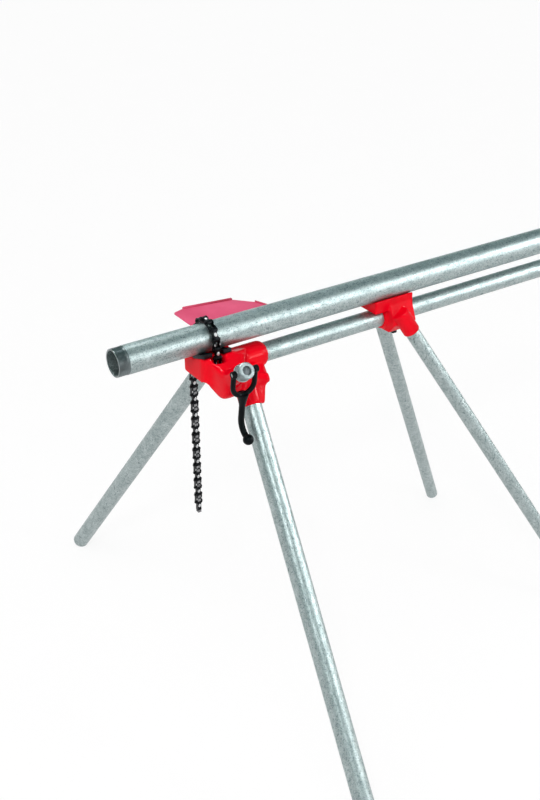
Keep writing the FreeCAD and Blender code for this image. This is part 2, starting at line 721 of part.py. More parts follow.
head_axis = HEAD - Z_AXIS * d.rail_drop
head_clamp = head_axis + Y_AXIS * d.head_clamp_back
ledge_top = -d.tray_drop - d.tray_thick


def tray_bolt_spots():
    """Centres of the tray's bolts on top of the ledge."""
    x = -d.tray_inner - d.tray_bolt_edge
    inset = d.tray_bolt_edge
    stations = (d.ledge_front + inset, d.ledge_back - inset)
    return [HEAD + Vector(x, y, ledge_top) for y in stations]


def make_head():
    """Head casting: everything cast together, then the machined and cored hollows."""
    solids = [make_base_block(), *(make_horn(label, side) for label, side in SIDES.items())]
    solids.append(rounded_bar("rail_hub", "hub_radius", "hub_mouth - hub_front", head_axis + Y_AXIS * d.hub_front,
                              Y_AXIS, "hub_round", lambda run: run > 1))
    solids.append(rounded_bar("lobe", "lobe_radius", "2 * lobe_half", HEAD + lobe_centre - Y_AXIS * d.lobe_half,
                              Y_AXIS, "lobe_round", lambda run: True))
    solids.append(cylinder("screw_boss", "boss_radius", "boss_length", HEAD + turn_end, screw_out))
    solids.append(clamp_boss("head", head_clamp))
    solids.append(make_cheeks())
    solids.append(block_at("ledge", Vector(-d.ledge_outer, d.ledge_front, ledge_top - d.ledge_thick),
                           "ledge_width", "ledge_length", "ledge_thick"))
    cuts = [cylinder("rail_bore", "rail_od / 2 + socket_play", "rail_length", head_axis + Y_AXIS * d.rail_inset,
                     Y_AXIS),
            cylinder("head_clamp_hole", "clamp_screw_radius", "hub_mouth", head_clamp, -Z_AXIS)]
    for label, side in SIDES.items():
        down = leg_direction(side, d.front_splay, -d.front_rake)
        top = front_top(side)
        solids.append(make_head_socket(label, side))
        solids.append(make_flared_lug(label, side, down, top))
        cuts.append(cylinder(label + "_head_leg_bore", "front_leg_od / 2 + socket_play", "front_leg_length", top,
                             down))
        cuts.append(make_lug(label + "_head_screw_hole", side, down, top, d.lug_down, d.lug_turn,
                             "leg_screw_radius", "2 * lug_reach"))
        for jaw, front in JAW_FRONTS.items():
            seat = jaw_screw_seat(side, front) - Z_AXIS * d.base_depth
            cuts.append(cylinder(f"{jaw}_{label}_screw_hole", "jaw_screw_radius", "base_depth + 1", seat, Z_AXIS))
            below = Vector(seat.x, seat.y, HEAD.z - d.base_depth - 1)
            cuts.append(cylinder(f"{jaw}_{label}_screw_room", "jaw_screw_room",
                                 "base_depth - seat_drop - core_top + 1", below, Z_AXIS))
    cuts.append(make_turn_channel())
    cuts.append(make_screw_passage())
    cuts.append(block_at("near_slot", Vector(turn_centre.x - d.slot_rim - d.slot_width, -d.slot_half, -d.slot_depth),
                         "slot_width", "2 * slot_half", "slot_depth"))
    cuts.append(block_at("far_relief", Vector(-2 * d.base_half_width, -d.slot_half, -d.relief_depth),
                         "base_half_width + relief_width", "2 * slot_half", "relief_depth"))
    notch = hook - Y_AXIS * d.base_half_width
    cuts.append(cylinder("hook_notch", "hook_throat", "2 * base_half_width", HEAD + notch, Y_AXIS))
    cuts.append(block_at("hook_mouth", notch - X_AXIS * d.hook_throat, "2 * hook_throat", "2 * base_half_width",
                         "2 * horn_top"))
    for i, spot in enumerate(tray_bolt_spots(), start=1):
        cuts.append(cylinder(f"ledge_hole_{i}", "tray_bolt_radius", "2 * ledge_thick",
                             spot + Z_AXIS * d.tray_thick, -Z_AXIS))
    return carve("head_casting", join("head_solid", *solids, merge_faces=False), *cuts, merge_faces=False)


node("vise_base", make_head())


# ---------------------------------------------------------------- fasteners


def make_clamp_screw(label, at):
    """Square-head set screw whose tip bears on the rail."""
    tip = at - Z_AXIS * (d.rail_od / 2 + d.running)
    shank = cylinder(label + "_shank", "clamp_screw_radius", "clamp_boss_drop + clamp_neck", tip, -Z_AXIS)
    under = at - Z_AXIS * (d.rail_od / 2 + d.clamp_boss_drop + d.clamp_neck)
    half = d.clamp_head / 2
    head = box(label + "_square", "clamp_head", "clamp_head", "clamp_head",
               Placement(under - Vector(half, half, d.clamp_head), Rotation()))
    return join(label, shank, head)


def make_leg_screws(label, splay, rake, top_of, pipe, reach, drop, turn):
    """Socket set screws, one a side, from the leg's skin to just under the boss's face."""
    screws = []
    for side_label, side in SIDES.items():
        down = leg_direction(side, getattr(d, splay), rake)
        out = lug_direction(down, side, getattr(d, turn))
        start = top_of(side) + down * getattr(d, drop) + out * getattr(d, pipe) / 2
        screws.append(cylinder(f"{label}_{side_label}", "leg_screw_radius", f"{reach} - leg_screw_sink - {pipe} / 2",
                               start, out))
    return gather(label, screws)


def make_jaw_screws():
    """Two screws up into each jaw, heads in the hollow below."""
    screws = []
    for jaw, front in JAW_FRONTS.items():
        for label, side in SIDES.items():
            tip = jaw_screw_seat(side, front) + Z_AXIS * d.jaw_thick / 2
            floor = HEAD.z - d.seat_drop - d.core_top
            shank = cylinder(f"{jaw}_{label}_shank", "jaw_screw_radius", "jaw_screw_grip", tip, -Z_AXIS)
            head = cylinder(f"{jaw}_{label}_head", "jaw_screw_head", "jaw_screw_head",
                            Vector(tip.x, tip.y, floor), -Z_AXIS)
            screws.append(join(f"{jaw}_{label}_screw", shank, head))
    return gather("jaw_screw_set", screws)


def make_tray_bolts():
    bolts = []
    for i, spot in enumerate(tray_bolt_spots(), start=1):
        top = spot + Z_AXIS * d.tray_thick
        shank = cylinder(f"tray_bolt_shank_{i}", "tray_bolt_radius", "ledge_thick + tray_thick", top, -Z_AXIS)
        head = prism(f"tray_bolt_head_{i}", "6", "tray_bolt_head", "tray_bolt_height", top, Z_AXIS)
        bolts.append(join(f"tray_bolt_{i}", shank, head))
    return gather("tray_bolt_set", bolts)


node("jaw_screws", make_jaw_screws())
node("tray_bolts", make_tray_bolts())
node("head_clamp_screw", make_clamp_screw("head_clamp", head_clamp))
node("front_leg_screws", make_leg_screws("front_leg_screw", "front_splay", -d.front_rake, front_top,
                                         "front_leg_od", "lug_reach", "lug_down", "lug_turn"))


# ---------------------------------------------------------------- tray


def make_lip(name, start, end, thickness, height):
    """Turned-up lip along the tray's edge between two corners; thickness is measured along one axis."""
    corners = [start, end, (f"{end[0]} + {thickness[0]}", f"{end[1]} + {thickness[1]}"),
               (f"{start[0]} + {thickness[0]}", f"{start[1]} + {thickness[1]}")]
    return slab(name, "XY_Plane", corners, height, "tray_thick / 2", tray_middle)


tray_middle = Placement(HEAD - Z_AXIS * (d.tray_drop + d.tray_thick / 2), Rotation())


def make_tray():
    """Pressed tray: tapered plate with rounded corners and turned-up lips on its outer and rear edges."""
    outer_front = ("-tray_outer", "tray_front + front_clip_y")
    outer_back = ("tray_taper - tray_outer", "outer_lip_back")
    rear_out = ("-rear_lip_out", "rear_lip_back - rear_lip_rise")
    rear_in = ("-rear_lip_in", "rear_lip_back")
    outline = [("-tray_inner", "tray_front"), ("-tray_inner", "tray_back"), rear_out, outer_back, outer_front,
               ("front_clip_x - tray_outer", "tray_front")]
    plate_blank = slab("tray_plate", "XY_Plane", outline, "tray_thick / 2", "tray_thick / 2", tray_middle)
    outside = -d.tray_inner - 1
    sheet_metal = soften("tray_corners", plate_blank, "tray_round",
                         lambda edge: runs_along(edge, Z_AXIS) and edge.CenterOfMass.x < outside)
    far = make_lip("tray_far_lip", outer_front, outer_back, ("tray_thick", "0"), "tray_lip")
    rear = make_lip("tray_rear_lip", rear_out, rear_in, ("0", "-tray_thick"), "tray_lip")
    holes = [cylinder(f"tray_hole_{i}", "tray_bolt_radius", "2 * tray_lip", spot - Z_AXIS * d.tray_lip, Z_AXIS)
             for i, spot in enumerate(tray_bolt_spots(), start=1)]
    return carve("tray_pressing", join("tray_blank", sheet_metal, far, rear), *holes)


node("tray", make_tray())


# ---------------------------------------------------------------- draw screw, nut and fork handle

hang = in_plane(-sin(d.handle_lean), -cos(d.handle_lean))
outward = in_plane(cos(d.handle_lean), -sin(d.handle_lean))


def make_chain_screw():
    """Draw screw with a flat tongue that the first link's pin goes through."""
    root = HEAD + anchor + screw_out * d.tongue_length
    bar = cylinder("draw_bar", "screw_radius", "screw_length", root, screw_out)
    corner = HEAD + anchor - Y_AXIS * d.block_width / 2 + screw_side * d.plate_half
    flat = box("tongue", "tongue_length", "block_width", "2 * plate_half", frame(corner, screw_out, Y_AXIS))
    eye = cylinder("tongue_eye", "plate_half", "block_width", HEAD + anchor - Y_AXIS * d.block_width / 2, Y_AXIS)
    hole = faceted_bore("tongue_hole", "pin_radius + running", 0)
    hole.Placement = link_placement(0).multiply(hole.Placement)
    return carve("draw_screw", join("draw_solid", bar, flat, eye), hole)


def make_nut():
    """Round nut with bevelled rims, bored for the screw and drilled for its trunnion pins."""
    start = NUT - screw_out * d.nut_half
    blank = cylinder("nut_blank", "nut_radius", "2 * nut_half", start, screw_out)
    blank = bevel("nut_bevels", blank, "nut_bevel", lambda edge: edge.isClosed())
    bore = cylinder("nut_bore", "screw_radius + running", "2 * nut_half", start, screw_out)
    tools = [bore]
    for label, side in SIDES.items():
        deep = NUT + Y_AXIS * side * (d.nut_radius - d.trunnion_bite)
        tools.append(cylinder(label + "_trunnion_hole", "trunnion_radius", "nut_radius", deep, Y_AXIS * side))
    return carve("nut_cut", blank, *tools)


def make_trunnions():
    ends = []
    for label, side in SIDES.items():
        deep = NUT + Y_AXIS * side * (d.nut_radius - d.trunnion_bite)
        ends.append(cylinder(label + "_trunnion", "trunnion_radius", "trunnion_reach - nut_radius + trunnion_bite",
                             deep, Y_AXIS * side))
    return gather("trunnion_pair", ends)


def make_washer():
    seat = NUT - screw_out * d.nut_seat
    disc = cylinder("washer_disc", "washer_radius", "washer_thick", seat, screw_out)
    return carve("washer", disc, cylinder("washer_hole", "screw_radius + screw_play", "washer_thick", seat,
                                          screw_out))


def make_handle():
    """Forged fork, straight shaft, bent end and ball, hanging from the trunnion pins."""
    crotch = NUT + hang * d.arm_drop
    neck = NUT + hang * (d.neck_drop - d.neck_length)
    arms = []
    eyes = []
    for label, side in SIDES.items():
        inner = NUT + Y_AXIS * side * (d.arm_out - d.arm_radius)
        arms.append(cylinder(label + "_arm", "arm_radius", "arm_drop", NUT + Y_AXIS * side * d.arm_out, hang))
        eyes.append(cylinder(label + "_eye", "eye_radius", "2 * arm_radius", inner, Y_AXIS * side))
    fork = bent_bar("fork_bend", "arm_out", "arm_radius", "180", crotch, Y_AXIS, hang)
    taper = bind(doc.addObject("Part::Cone", "handle_neck"), Radius1="neck_radius", Radius2="shaft_radius",
                 Height="neck_length")
    taper.Placement = along(neck, hang)
    shaft = cylinder("handle_shaft", "shaft_radius", "bend_drop - neck_drop", NUT + hang * d.neck_drop, hang)
    bend = bent_bar("handle_bend", "bend_radius", "shaft_radius", "bend_sweep",
                    NUT + hang * d.bend_drop + outward * d.bend_radius, -outward, hang)
    ball = bind(doc.addObject("Part::Sphere", "handle_ball"), Radius="ball_radius")
    ball.Placement = Placement(NUT + hang * d.ball_drop + outward * d.ball_out, Rotation())
    hole = cylinder("eye_holes", "trunnion_radius + running", "4 * arm_out", NUT - Y_AXIS * 2 * d.arm_out, Y_AXIS)
    forging = join("handle_solid", fork, *arms, *eyes, taper, shaft, bend, ball, merge_faces=False)
    return carve("handle_forging", forging, hole, merge_faces=False)


node("chain_screw", make_chain_screw())
node("handle_nut", make_nut())
node("trunnion_pins", make_trunnions())
node("thrust_washer", make_washer())
node("handle", make_handle())


# ---------------------------------------------------------------- rear support


def make_rear_saddle():
    """V saddle under the work pipe that reaches forward over the rail."""
    rise = "tan(saddle_slope * 1 deg)"
    top = f"saddle_apex + saddle_half_width * {rise}"
    corners = [
        ("0", "saddle_apex"), ("-saddle_half_width", top), ("-saddle_half_width", "saddle_floor"),
        ("saddle_half_width", "saddle_floor"), ("saddle_half_width", top),
    ]
    return slab("rear_saddle", "XZ_Plane", corners, "saddle_front", "saddle_back", Placement(REAR, Rotation()))


def make_rear_web():
    """Rib that ties the saddle to both leg sockets."""
    corners = [
        ("saddle_half_width", "saddle_apex"), ("web_half_width", "-web_drop"),
        ("saddle_half_width", "-saddle_half_width"), ("-saddle_half_width", "-saddle_half_width"),
        ("-web_half_width", "-web_drop"), ("-saddle_half_width", "saddle_apex"),
    ]
    return slab("rear_web", "XZ_Plane", corners, "web_front", "web_back", Placement(REAR, Rotation()))


def make_rear_support():
    solids = [make_rear_saddle(), make_rear_web()]
    front = REAR - Y_AXIS * d.rear_hub_front
    solids.append(rounded_bar("rear_hub", "rear_hub_radius", "rear_hub_front + rear_hub_back", front, Y_AXIS,
                              "rear_round", lambda run: True))
    solids.append(clamp_boss("rear", REAR))
    cuts = [cylinder("rear_rail_bore", "rail_od / 2 + running", "4 * saddle_front",
                     REAR - Y_AXIS * 2 * d.saddle_front, Y_AXIS),
            cylinder("rear_clamp_hole", "clamp_screw_radius", "2 * saddle_front", REAR, -Z_AXIS)]
    for label, side in SIDES.items():
        down = leg_direction(side, d.rear_splay, d.rear_rake)
        top = rear_top(side)
        solids.append(rounded_bar(label + "_rear_socket", "rear_leg_od / 2 + rear_socket_wall",
                                  "rear_socket_cap + rear_socket_depth", top - down * d.rear_socket_cap, down,
                                  "socket_round", lambda run: True))
        solids.append(make_lug(label + "_rear_lug", side, down, top, d.rear_lug_down, d.rear_lug_turn,
                               "rear_lug_radius", "rear_lug_reach"))
        cuts.append(cylinder(label + "_rear_leg_bore", "rear_leg_od / 2 + socket_play", "rear_leg_length", top,
                             down))
        cuts.append(make_lug(label + "_rear_screw_hole", side, down, top, d.rear_lug_down, d.rear_lug_turn,
                             "leg_screw_radius", "2 * rear_lug_reach"))
    return carve("rear_casting", join("rear_solid", *solids), *cuts)


node("rear_support", make_rear_support())
node("rear_clamp_screw", make_clamp_screw("rear_clamp", REAR))
node("rear_leg_screws", make_leg_screws("rear_leg_screw", "rear_splay", d.rear_rake, rear_top, "rear_leg_od",
                                        "rear_lug_reach", "rear_lug_down", "rear_lug_turn"))


# ---------------------------------------------------------------- checks and export

doc.recompute()
for item in doc.Objects:
    if "Invalid" in item.State or "Error" in item.State:
        raise RuntimeError(f"{item.Name} failed: {item.State}")
for name, thing in nodes.items():
    if thing.Shape.isNull() or not thing.Shape.isValid():
        raise RuntimeError(f"{name} has no valid shape")
for name, thing in nodes.items():
    thing.Shape.exportStep(f"parts/{name}.step")
    print(f"{name:28s} {len(thing.Shape.Solids):3d} solids {thing.Shape.Volume / 1000:10.2f} cm3")
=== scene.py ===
# %% [markdown]
# # A portable pipe vise stand
# A chain vise grips a steel pipe on a cast iron head, and a rail pipe runs back to a second casting that holds
# the pipe's other end. Four pipe legs carry both. The solids come in already placed, so this lesson only dresses
# them: it swaps coarse solids for finer meshes that stay where the solids are, and gives every surface a finish.

import json
import math

import bmesh
import bpy
import numpy as np
from mathutils import Matrix, Vector


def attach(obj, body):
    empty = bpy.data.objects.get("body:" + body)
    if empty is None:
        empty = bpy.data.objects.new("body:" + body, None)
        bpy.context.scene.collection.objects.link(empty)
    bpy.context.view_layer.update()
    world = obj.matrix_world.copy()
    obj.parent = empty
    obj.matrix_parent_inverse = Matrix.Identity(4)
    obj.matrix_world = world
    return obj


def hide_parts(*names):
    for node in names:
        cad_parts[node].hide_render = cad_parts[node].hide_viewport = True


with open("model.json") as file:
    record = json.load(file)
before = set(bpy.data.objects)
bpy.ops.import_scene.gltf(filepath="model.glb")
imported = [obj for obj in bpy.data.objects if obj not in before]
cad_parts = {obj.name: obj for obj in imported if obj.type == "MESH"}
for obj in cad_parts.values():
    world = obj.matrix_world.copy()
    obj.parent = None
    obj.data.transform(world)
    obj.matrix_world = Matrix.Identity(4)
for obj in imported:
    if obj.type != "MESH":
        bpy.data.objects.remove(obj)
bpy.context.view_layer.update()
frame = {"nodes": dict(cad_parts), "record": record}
SOLIDS = frame["nodes"]
BODY_OF = {node: body for body, nodes in frame["record"]["behaviour"]["bodies"].items() for node in nodes}
SLOT_OF = {part["node"]: part["material_slot"] for part in frame["record"]["subparts"]}

# %% [markdown]
# ## The camera
# A portrait camera stands to the right of the threaded end, well above the pipes, and looks down along them.
# A lens near 50 mm keeps the four legs from spreading too much. Its three axes come from how far it is turned
# round the upright, how far it tips down, and a hair of roll.

# %% Stand the camera
CAMERA_PLACE = Vector((1.81272, -1.45006, 1.95458))
CAMERA_TURN = math.radians(56.203)
CAMERA_TIP = math.radians(29.092)
CAMERA_ROLL = math.radians(-0.219)
FOCAL_PIXELS = 1125.2
FRAME_HEIGHT_PIXELS = 800
SENSOR_MM = 36.0


def camera_axes():
    """Unit vectors to the camera's right, up and straight ahead."""
    ahead = Vector((-math.sin(CAMERA_TURN) * math.cos(CAMERA_TIP), math.cos(CAMERA_TURN) * math.cos(CAMERA_TIP),
                    -math.sin(CAMERA_TIP)))
    right = Vector((math.cos(CAMERA_TURN), math.sin(CAMERA_TURN), 0))
    up = right.cross(ahead)
    level_right = right * math.cos(CAMERA_ROLL) + up * math.sin(CAMERA_ROLL)
    return level_right, up * math.cos(CAMERA_ROLL) - right * math.sin(CAMERA_ROLL), ahead


RIGHT, UP, AHEAD = camera_axes()
camera = bpy.data.objects.new("portrait_camera", bpy.data.cameras.new("portrait_camera"))
camera.data.sensor_width = SENSOR_MM
camera.data.lens = FOCAL_PIXELS * SENSOR_MM / FRAME_HEIGHT_PIXELS
camera.data.clip_end = 50
camera.matrix_world = Matrix.Translation(CAMERA_PLACE) @ Matrix((RIGHT, UP, -AHEAD)).transposed().to_4x4()
bpy.context.scene.collection.objects.link(camera)
bpy.context.scene.camera = camera
print("lens", round(camera.data.lens, 1), "mm")

# %% [markdown]
# ## Shader maths as ordinary sums
# A finish is easier to read when its nodes are written as sums. Wire wraps one output socket, and adding or
# multiplying wires adds the Math nodes. Finish.node makes every other node: its settings first, then the values
# or wires of its sockets.

# %% Wire and Finish
class Wire:
    """One output socket that takes part in sums."""

    def __init__(self, finish, socket):
        self.finish, self.socket = finish, socket

    def maths(self, operation, first, second):
        return self.finish.node("ShaderNodeMath", {"operation": operation}, {0: first, 1: second})

    def __add__(self, other):
        return self.maths("ADD", self, other)

    def __radd__(self, other):
        return self.maths("ADD", other, self)

    def __sub__(self, other):
        return self.maths("SUBTRACT", self, other)

    def __rsub__(self, other):
        return self.maths("SUBTRACT", other, self)

    def __mul__(self, other):
        return self.maths("MULTIPLY", self, other)

    def __rmul__(self, other):
        return self.maths("MULTIPLY", other, self)


class Finish:
    """A material under construction, with one Principled shader."""

    def __init__(self, name, **plain):
        self.material = bpy.data.materials.new(name)
        self.material.use_nodes = True
        self.tree = self.material.node_tree
        self.shader = self.tree.nodes["Principled BSDF"]
        for socket, value in plain.items():
            self.shader.inputs[socket.replace("_", " ")].default_value = value

    def node(self, kind, settings=None, sockets=None, output=0):
        """Make a node, set it up, wire it and give back one of its outputs."""
        made = self.tree.nodes.new(kind)
        for key, value in (settings or {}).items():
            if key == "stops":
                self.set_stops(made.color_ramp, value)
            else:
                setattr(made, key, value)
        for key, value in (sockets or {}).items():
            self.feed(made.inputs[key], value)
        return Wire(self, made.outputs[output])

    @staticmethod
    def set_stops(ramp, stops):
        """Give a colour ramp its stops: pairs of place and grey level or colour."""
        while len(ramp.elements) < len(stops):
            ramp.elements.new(1.0)
        for element, (place, value) in zip(ramp.elements, stops):
            element.position = place
            element.color = (value, value, value, 1) if isinstance(value, (int, float)) else (*value, 1)

    def feed(self, socket, value):
        """Link a wire to a socket, or set the socket to a plain value."""
        if isinstance(value, Wire):
            self.tree.links.new(value.socket, socket)
        elif isinstance(value, tuple) and len(value) == 3 and socket.type == "RGBA":
            socket.default_value = (*value, 1)
        else:
            socket.default_value = value

    def drive(self, **sockets):
        """Wire or set the shader's own sockets."""
        for name, value in sockets.items():
            self.feed(self.shader.inputs[name.replace("_", " ")], value)
        return self

    def place(self):
        """Position on the piece, in metres."""
        return self.node("ShaderNodeTexCoord", output="Object")

    def noise(self, scale, detail=3.0, stretch=None):
        """Soft random field, finer as scale grows."""
        where = self.place()
        if stretch:
            where = self.node("ShaderNodeMapping", sockets={"Vector": where, "Scale": stretch})
        return self.node("ShaderNodeTexNoise", sockets={"Vector": where, "Scale": scale, "Detail": detail})

    def ramp(self, wire, *stops):
        """Grey level or colour looked up along a ramp."""
        return self.node("ShaderNodeValToRGB", {"stops": stops}, {"Fac": wire})

    def blend(self, factor, first, second):
        """Colour between two colours or wires."""
        return self.node("ShaderNodeMix", {"data_type": "RGBA"}, {0: factor, 6: first, 7: second}, 2)

    def bump(self, height, depth):
        """Small relief; depth is in metres."""
        relief = self.node("ShaderNodeBump", {}, {"Height": height, "Distance": depth})
        return self.drive(Normal=relief)

    def edges(self, low, high):
        """Mask of convex edges, from the mesh's own curvature."""
        bend = self.node("ShaderNodeNewGeometry", output="Pointiness")
        return self.ramp(bend, (low, 0.0), (high, 1.0))


print("Wire and Finish ready")

# %% [markdown]
# ## Red enamel on cast iron
# The castings are dipped in a thick glossy red. The sand mould leaves a soft orange-peel relief under it, so the
# highlights wobble a little. A clear coat over a rougher base gives both the deep colour and the sharp shine.
# Paint wears thin on the edges that tools strike, where it turns darker.

# %% Red enamel
ENAMEL_RED = (0.82, 0.0012, 0.012)
ENAMEL_DEEP = (0.66, 0.0008, 0.010)
ENAMEL_WORN = (0.30, 0.01, 0.015)
TRAY_RED = (0.72, 0.115, 0.215)
TRAY_DEEP = (0.62, 0.085, 0.165)
# The lip red below is darker as painted shade, for lips that face away from the light.
LIP_PAINTED_SHADE = (0.42, 0.045, 0.085)


def red_enamel(name, colours, orange_peel, grain, gloss=0.3):
    """Coated red; orange_peel is the depth of its waves in metres and grain their number per metre."""
    paint = Finish(name, Coat_Weight=0.42, Coat_IOR=1.3, Coat_Roughness=0.12, Specular_IOR_Level=0.0)
    patches = paint.ramp(paint.noise(14), (0.35, 0.0), (0.7, 1.0))
    colour = paint.blend(patches, *colours)
    chipped = paint.edges(0.56, 0.66) * paint.ramp(paint.noise(160), (0.58, 0.0), (0.64, 1.0))
    dust = paint.ramp(paint.noise(900, 4), (0.45, 0.0), (0.75, 1.0))
    paint.drive(Base_Color=paint.blend(chipped * 0.6, colour, ENAMEL_WORN),
                Roughness=gloss + dust * 0.1 + chipped * 0.3)
    return paint.bump(paint.noise(grain, 2) + paint.noise(grain * 6, 2) * 0.25, orange_peel)


castings_red = red_enamel("red_casting", (ENAMEL_RED, ENAMEL_DEEP), 0.0005, 70)
tray_red = red_enamel("red_tray", (TRAY_RED, TRAY_DEEP), 0.0002, 25, 0.42)
# The lips' material carries painted shade: a darker red than the tray.
lip_painted_shade = red_enamel("red_lips_painted_shade", (LIP_PAINTED_SHADE, TRAY_DEEP), 0.0002, 25, 0.42)
print("three reds")

# %% [markdown]
# ## Hot dip galvanising
# Zinc freezes in flat crystals, the spangle, and dulls to a mottled grey. Voronoi cells stand for the crystals
# and a stretched noise for the run of the zinc along the pipe. Both change the roughness more than the colour,
# because spangle shows mostly in the way it shines.

# %% Galvanised pipe
ZINC_LIGHT = (0.47, 0.53, 0.53)
ZINC_DARK = (0.30, 0.36, 0.36)
ZINC_STAIN = (0.06, 0.10, 0.105)


def galvanised(name, along):
    """Mottled zinc with small dark flecks; along stretches its streaks down the pipe."""
    zinc = Finish(name)
    crystals = zinc.node("ShaderNodeTexVoronoi", {}, {"Vector": zinc.place(), "Scale": 170.0}, "Color")
    crystal_tone = zinc.node("ShaderNodeSeparateColor", {}, {"Color": crystals})
    mottle = zinc.ramp(zinc.noise(60, 6, along), (0.36, 0.0), (0.66, 1.0))
    flecks = zinc.ramp(zinc.noise(420, 4), (0.53, 0.0), (0.61, 1.0))
    specks = zinc.ramp(zinc.noise(190, 5, along), (0.60, 0.0), (0.68, 1.0))
    tone = mottle * 0.45 + crystal_tone * 0.55
    colour = zinc.blend(tone, ZINC_LIGHT, ZINC_DARK)
    marks = flecks * 0.55 + specks * 0.45
    zinc.drive(Base_Color=zinc.blend(marks, colour, ZINC_STAIN),
               Roughness=0.36 + crystal_tone * 0.10 + marks * 0.15, Metallic=0.96 - marks * 0.4)
    return zinc.bump(zinc.noise(420, 4) + crystal_tone * 0.4, 0.0003)


STREAKS_Y = (1.0, 0.35, 1.0)
STREAKS_Z = (1.0, 1.0, 0.35)
pipe_zinc = galvanised("galvanised_pipe", STREAKS_Y)
leg_zinc = galvanised("galvanised_leg", STREAKS_Z)
print("two zincs")

# %% [markdown]
# ## Bare and blackened steels
# The threads are bare steel under cutting oil, the chain is oiled black with bright pads that are partly wear and
# partly painted highlight, the handle is a satin black forging, and the nut is bright zinc. They differ in base
# colour, in roughness and in how far wear brightens their edges, so one recipe serves them all.

# %% Steel recipe
def steel(name, colour, worn, roughness, edge_range, grain, relief, shine=1.0):
    """Metal with smudges, fine grain and brighter edges."""
    metal = Finish(name, Metallic=shine)
    smudge = metal.ramp(metal.noise(60, 5), (0.35, 0.0), (0.7, 1.0))
    scuffed = metal.edges(*edge_range) * metal.ramp(metal.noise(220, 4), (0.35, 0.25), (0.6, 1.0))
    darker = tuple(level * 0.6 for level in colour)
    metal.drive(Base_Color=metal.blend(scuffed, metal.blend(smudge, colour, darker), worn),
                Roughness=roughness + smudge * 0.14 - scuffed * 0.12)
    return metal.bump(metal.noise(grain, 3), relief)


STEELS = {
    "chain_steel": steel("chain_steel", (0.012, 0.013, 0.015), (0.30, 0.30, 0.31), 0.3, (0.57, 0.68), 900, 0.0001),
    # The bright steel below is for the chain's waist pads: partly wear, partly painted highlight.
    "sheen_and_wear_steel": steel("sheen_and_wear_steel", (0.62, 0.62, 0.63), (0.8, 0.8, 0.8), 0.34, (0.55, 0.65), 900, 0.0001),
    "thread_steel": steel("thread_steel", (0.17, 0.20, 0.205), (0.55, 0.6, 0.6), 0.3, (0.53, 0.62), 1200, 0.0001),
    "black_forging": steel("black_forging", (0.0012, 0.003, 0.004), (0.012, 0.014, 0.016), 0.42, (0.56, 0.7), 260,
                           0.0003, 0.3),
    "black_fasteners": steel("black_fasteners", (0.012, 0.012, 0.014), (0.1, 0.1, 0.1), 0.36, (0.55, 0.66), 800,
                             0.0001, 0.8),
    "jaw_steel": steel("jaw_steel", (0.03, 0.032, 0.036), (0.6, 0.6, 0.6), 0.38, (0.6, 0.7), 500, 0.0002),
    "screw_steel": steel("screw_steel", (0.14, 0.155, 0.165), (0.5, 0.52, 0.54), 0.36, (0.53, 0.62), 700, 0.0001),
    "zinc": steel("zinc", (0.36, 0.42, 0.43), (0.75, 0.8, 0.8), 0.44, (0.52, 0.58), 500, 0.0001, 0.8),
}
for name in ("black_forging", "black_fasteners"):
    STEELS[name].drive(Specular_IOR_Level=0.12)
FINISHES = {name: recipe.material for name, recipe in STEELS.items()}
FINISHES.update({"red_casting": castings_red.material, "red_tray": tray_red.material,
                 "galvanised": pipe_zinc.material})
for node, solid in SOLIDS.items():
    solid.data.materials.clear()
    solid.data.materials.append(FINISHES[SLOT_OF[node]])
print(len(FINISHES), "finishes")

# %% [markdown]
# ## Swapping a solid for a finer mesh
# Every finer piece is made in place, takes over the solid's finish and body, and the solid is hidden. A copy of the
# solid's mesh comes with split corners, so its doubled points are welded first.

# %% Piece helpers
def welded(node):
    """Editable copy of a solid's mesh with its doubled points welded."""
    mesh = bmesh.new()
    mesh.from_mesh(SOLIDS[node].data)
    bmesh.ops.remove_doubles(mesh, verts=mesh.verts, dist=1e-6)
    return mesh


def dress(name, mesh, node, finish=None):
    """Turn an editable mesh into a piece that stands for a solid."""
    data = bpy.data.meshes.new(name)
    mesh.to_mesh(data)
    mesh.free()
    piece = bpy.data.objects.new(name, data)
    bpy.context.scene.collection.objects.link(piece)
    data.materials.append(finish or FINISHES[SLOT_OF[node]])
    data.polygons.foreach_set("use_smooth", [True] * len(data.polygons))
    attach(piece, BODY_OF[node])
    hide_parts(node)
    return piece


def islands(node):
    """Point clouds of the separate solids in one node."""
    mesh = welded(node)
    left = set(mesh.verts)
    clouds = []
    while left:
        front = [left.pop()]
        cloud = []
        while front:
            vertex = front.pop()
            cloud.append(vertex.co.copy())
            for edge in vertex.link_edges:
                other = edge.other_vert(vertex)
                if other in left:
                    left.remove(other)
                    front.append(other)
        clouds.append(np.array(cloud, float))
    mesh.free()
    return clouds


def settle(piece):
    """Apply a piece's modifiers to its mesh."""
    shaped = bpy.data.meshes.new_from_object(piece.evaluated_get(bpy.context.evaluated_depsgraph_get()))
    piece.modifiers.clear()
    piece.data = shaped
    return piece


print("helpers ready")

# %% [markdown]
# ## Castings
# A sand casting has no sharp inside corner: the metal flows from boss to wall in wide fillets, and thin webs tie
# its bosses together. The webs are drawn first, as skins stretched over a few balls. Voxel remeshing then turns
# casting and webs into one even skin, and rounds of smoothing melt every corner alike, just as the thick paint
# does. The bores are left out of the smoothing, so pipes and screws still fit them, and the hooks get less of it.
# The near side of the head gets extra rounds, because its lobe runs into the block in one long soft swell.

# %% Melt the corners of the castings
CAST_VOXEL = 0.0016
CAST_ROUNDS = 40
FORGED_VOXEL = 0.0009
FORGED_ROUNDS = 12
BORE_MARGIN = 0.0012
HOOK_PIN = (-0.0624, 0.8957)
HOOK_CALM = 0.017
CALM_SHARE = 0.3
SWELL_FROM, SWELL_TO = (0.030, -0.50, 0.80), (0.14, -0.305, 0.96)
SWELL_ROUNDS = 140
BAR_SIDES = 48


def axis_of(node):
    """Start, unit direction, length and the largest and smallest radius of a round solid."""
    return round_axis(np.array([v.co for v in SOLIDS[node].data.vertices], float))


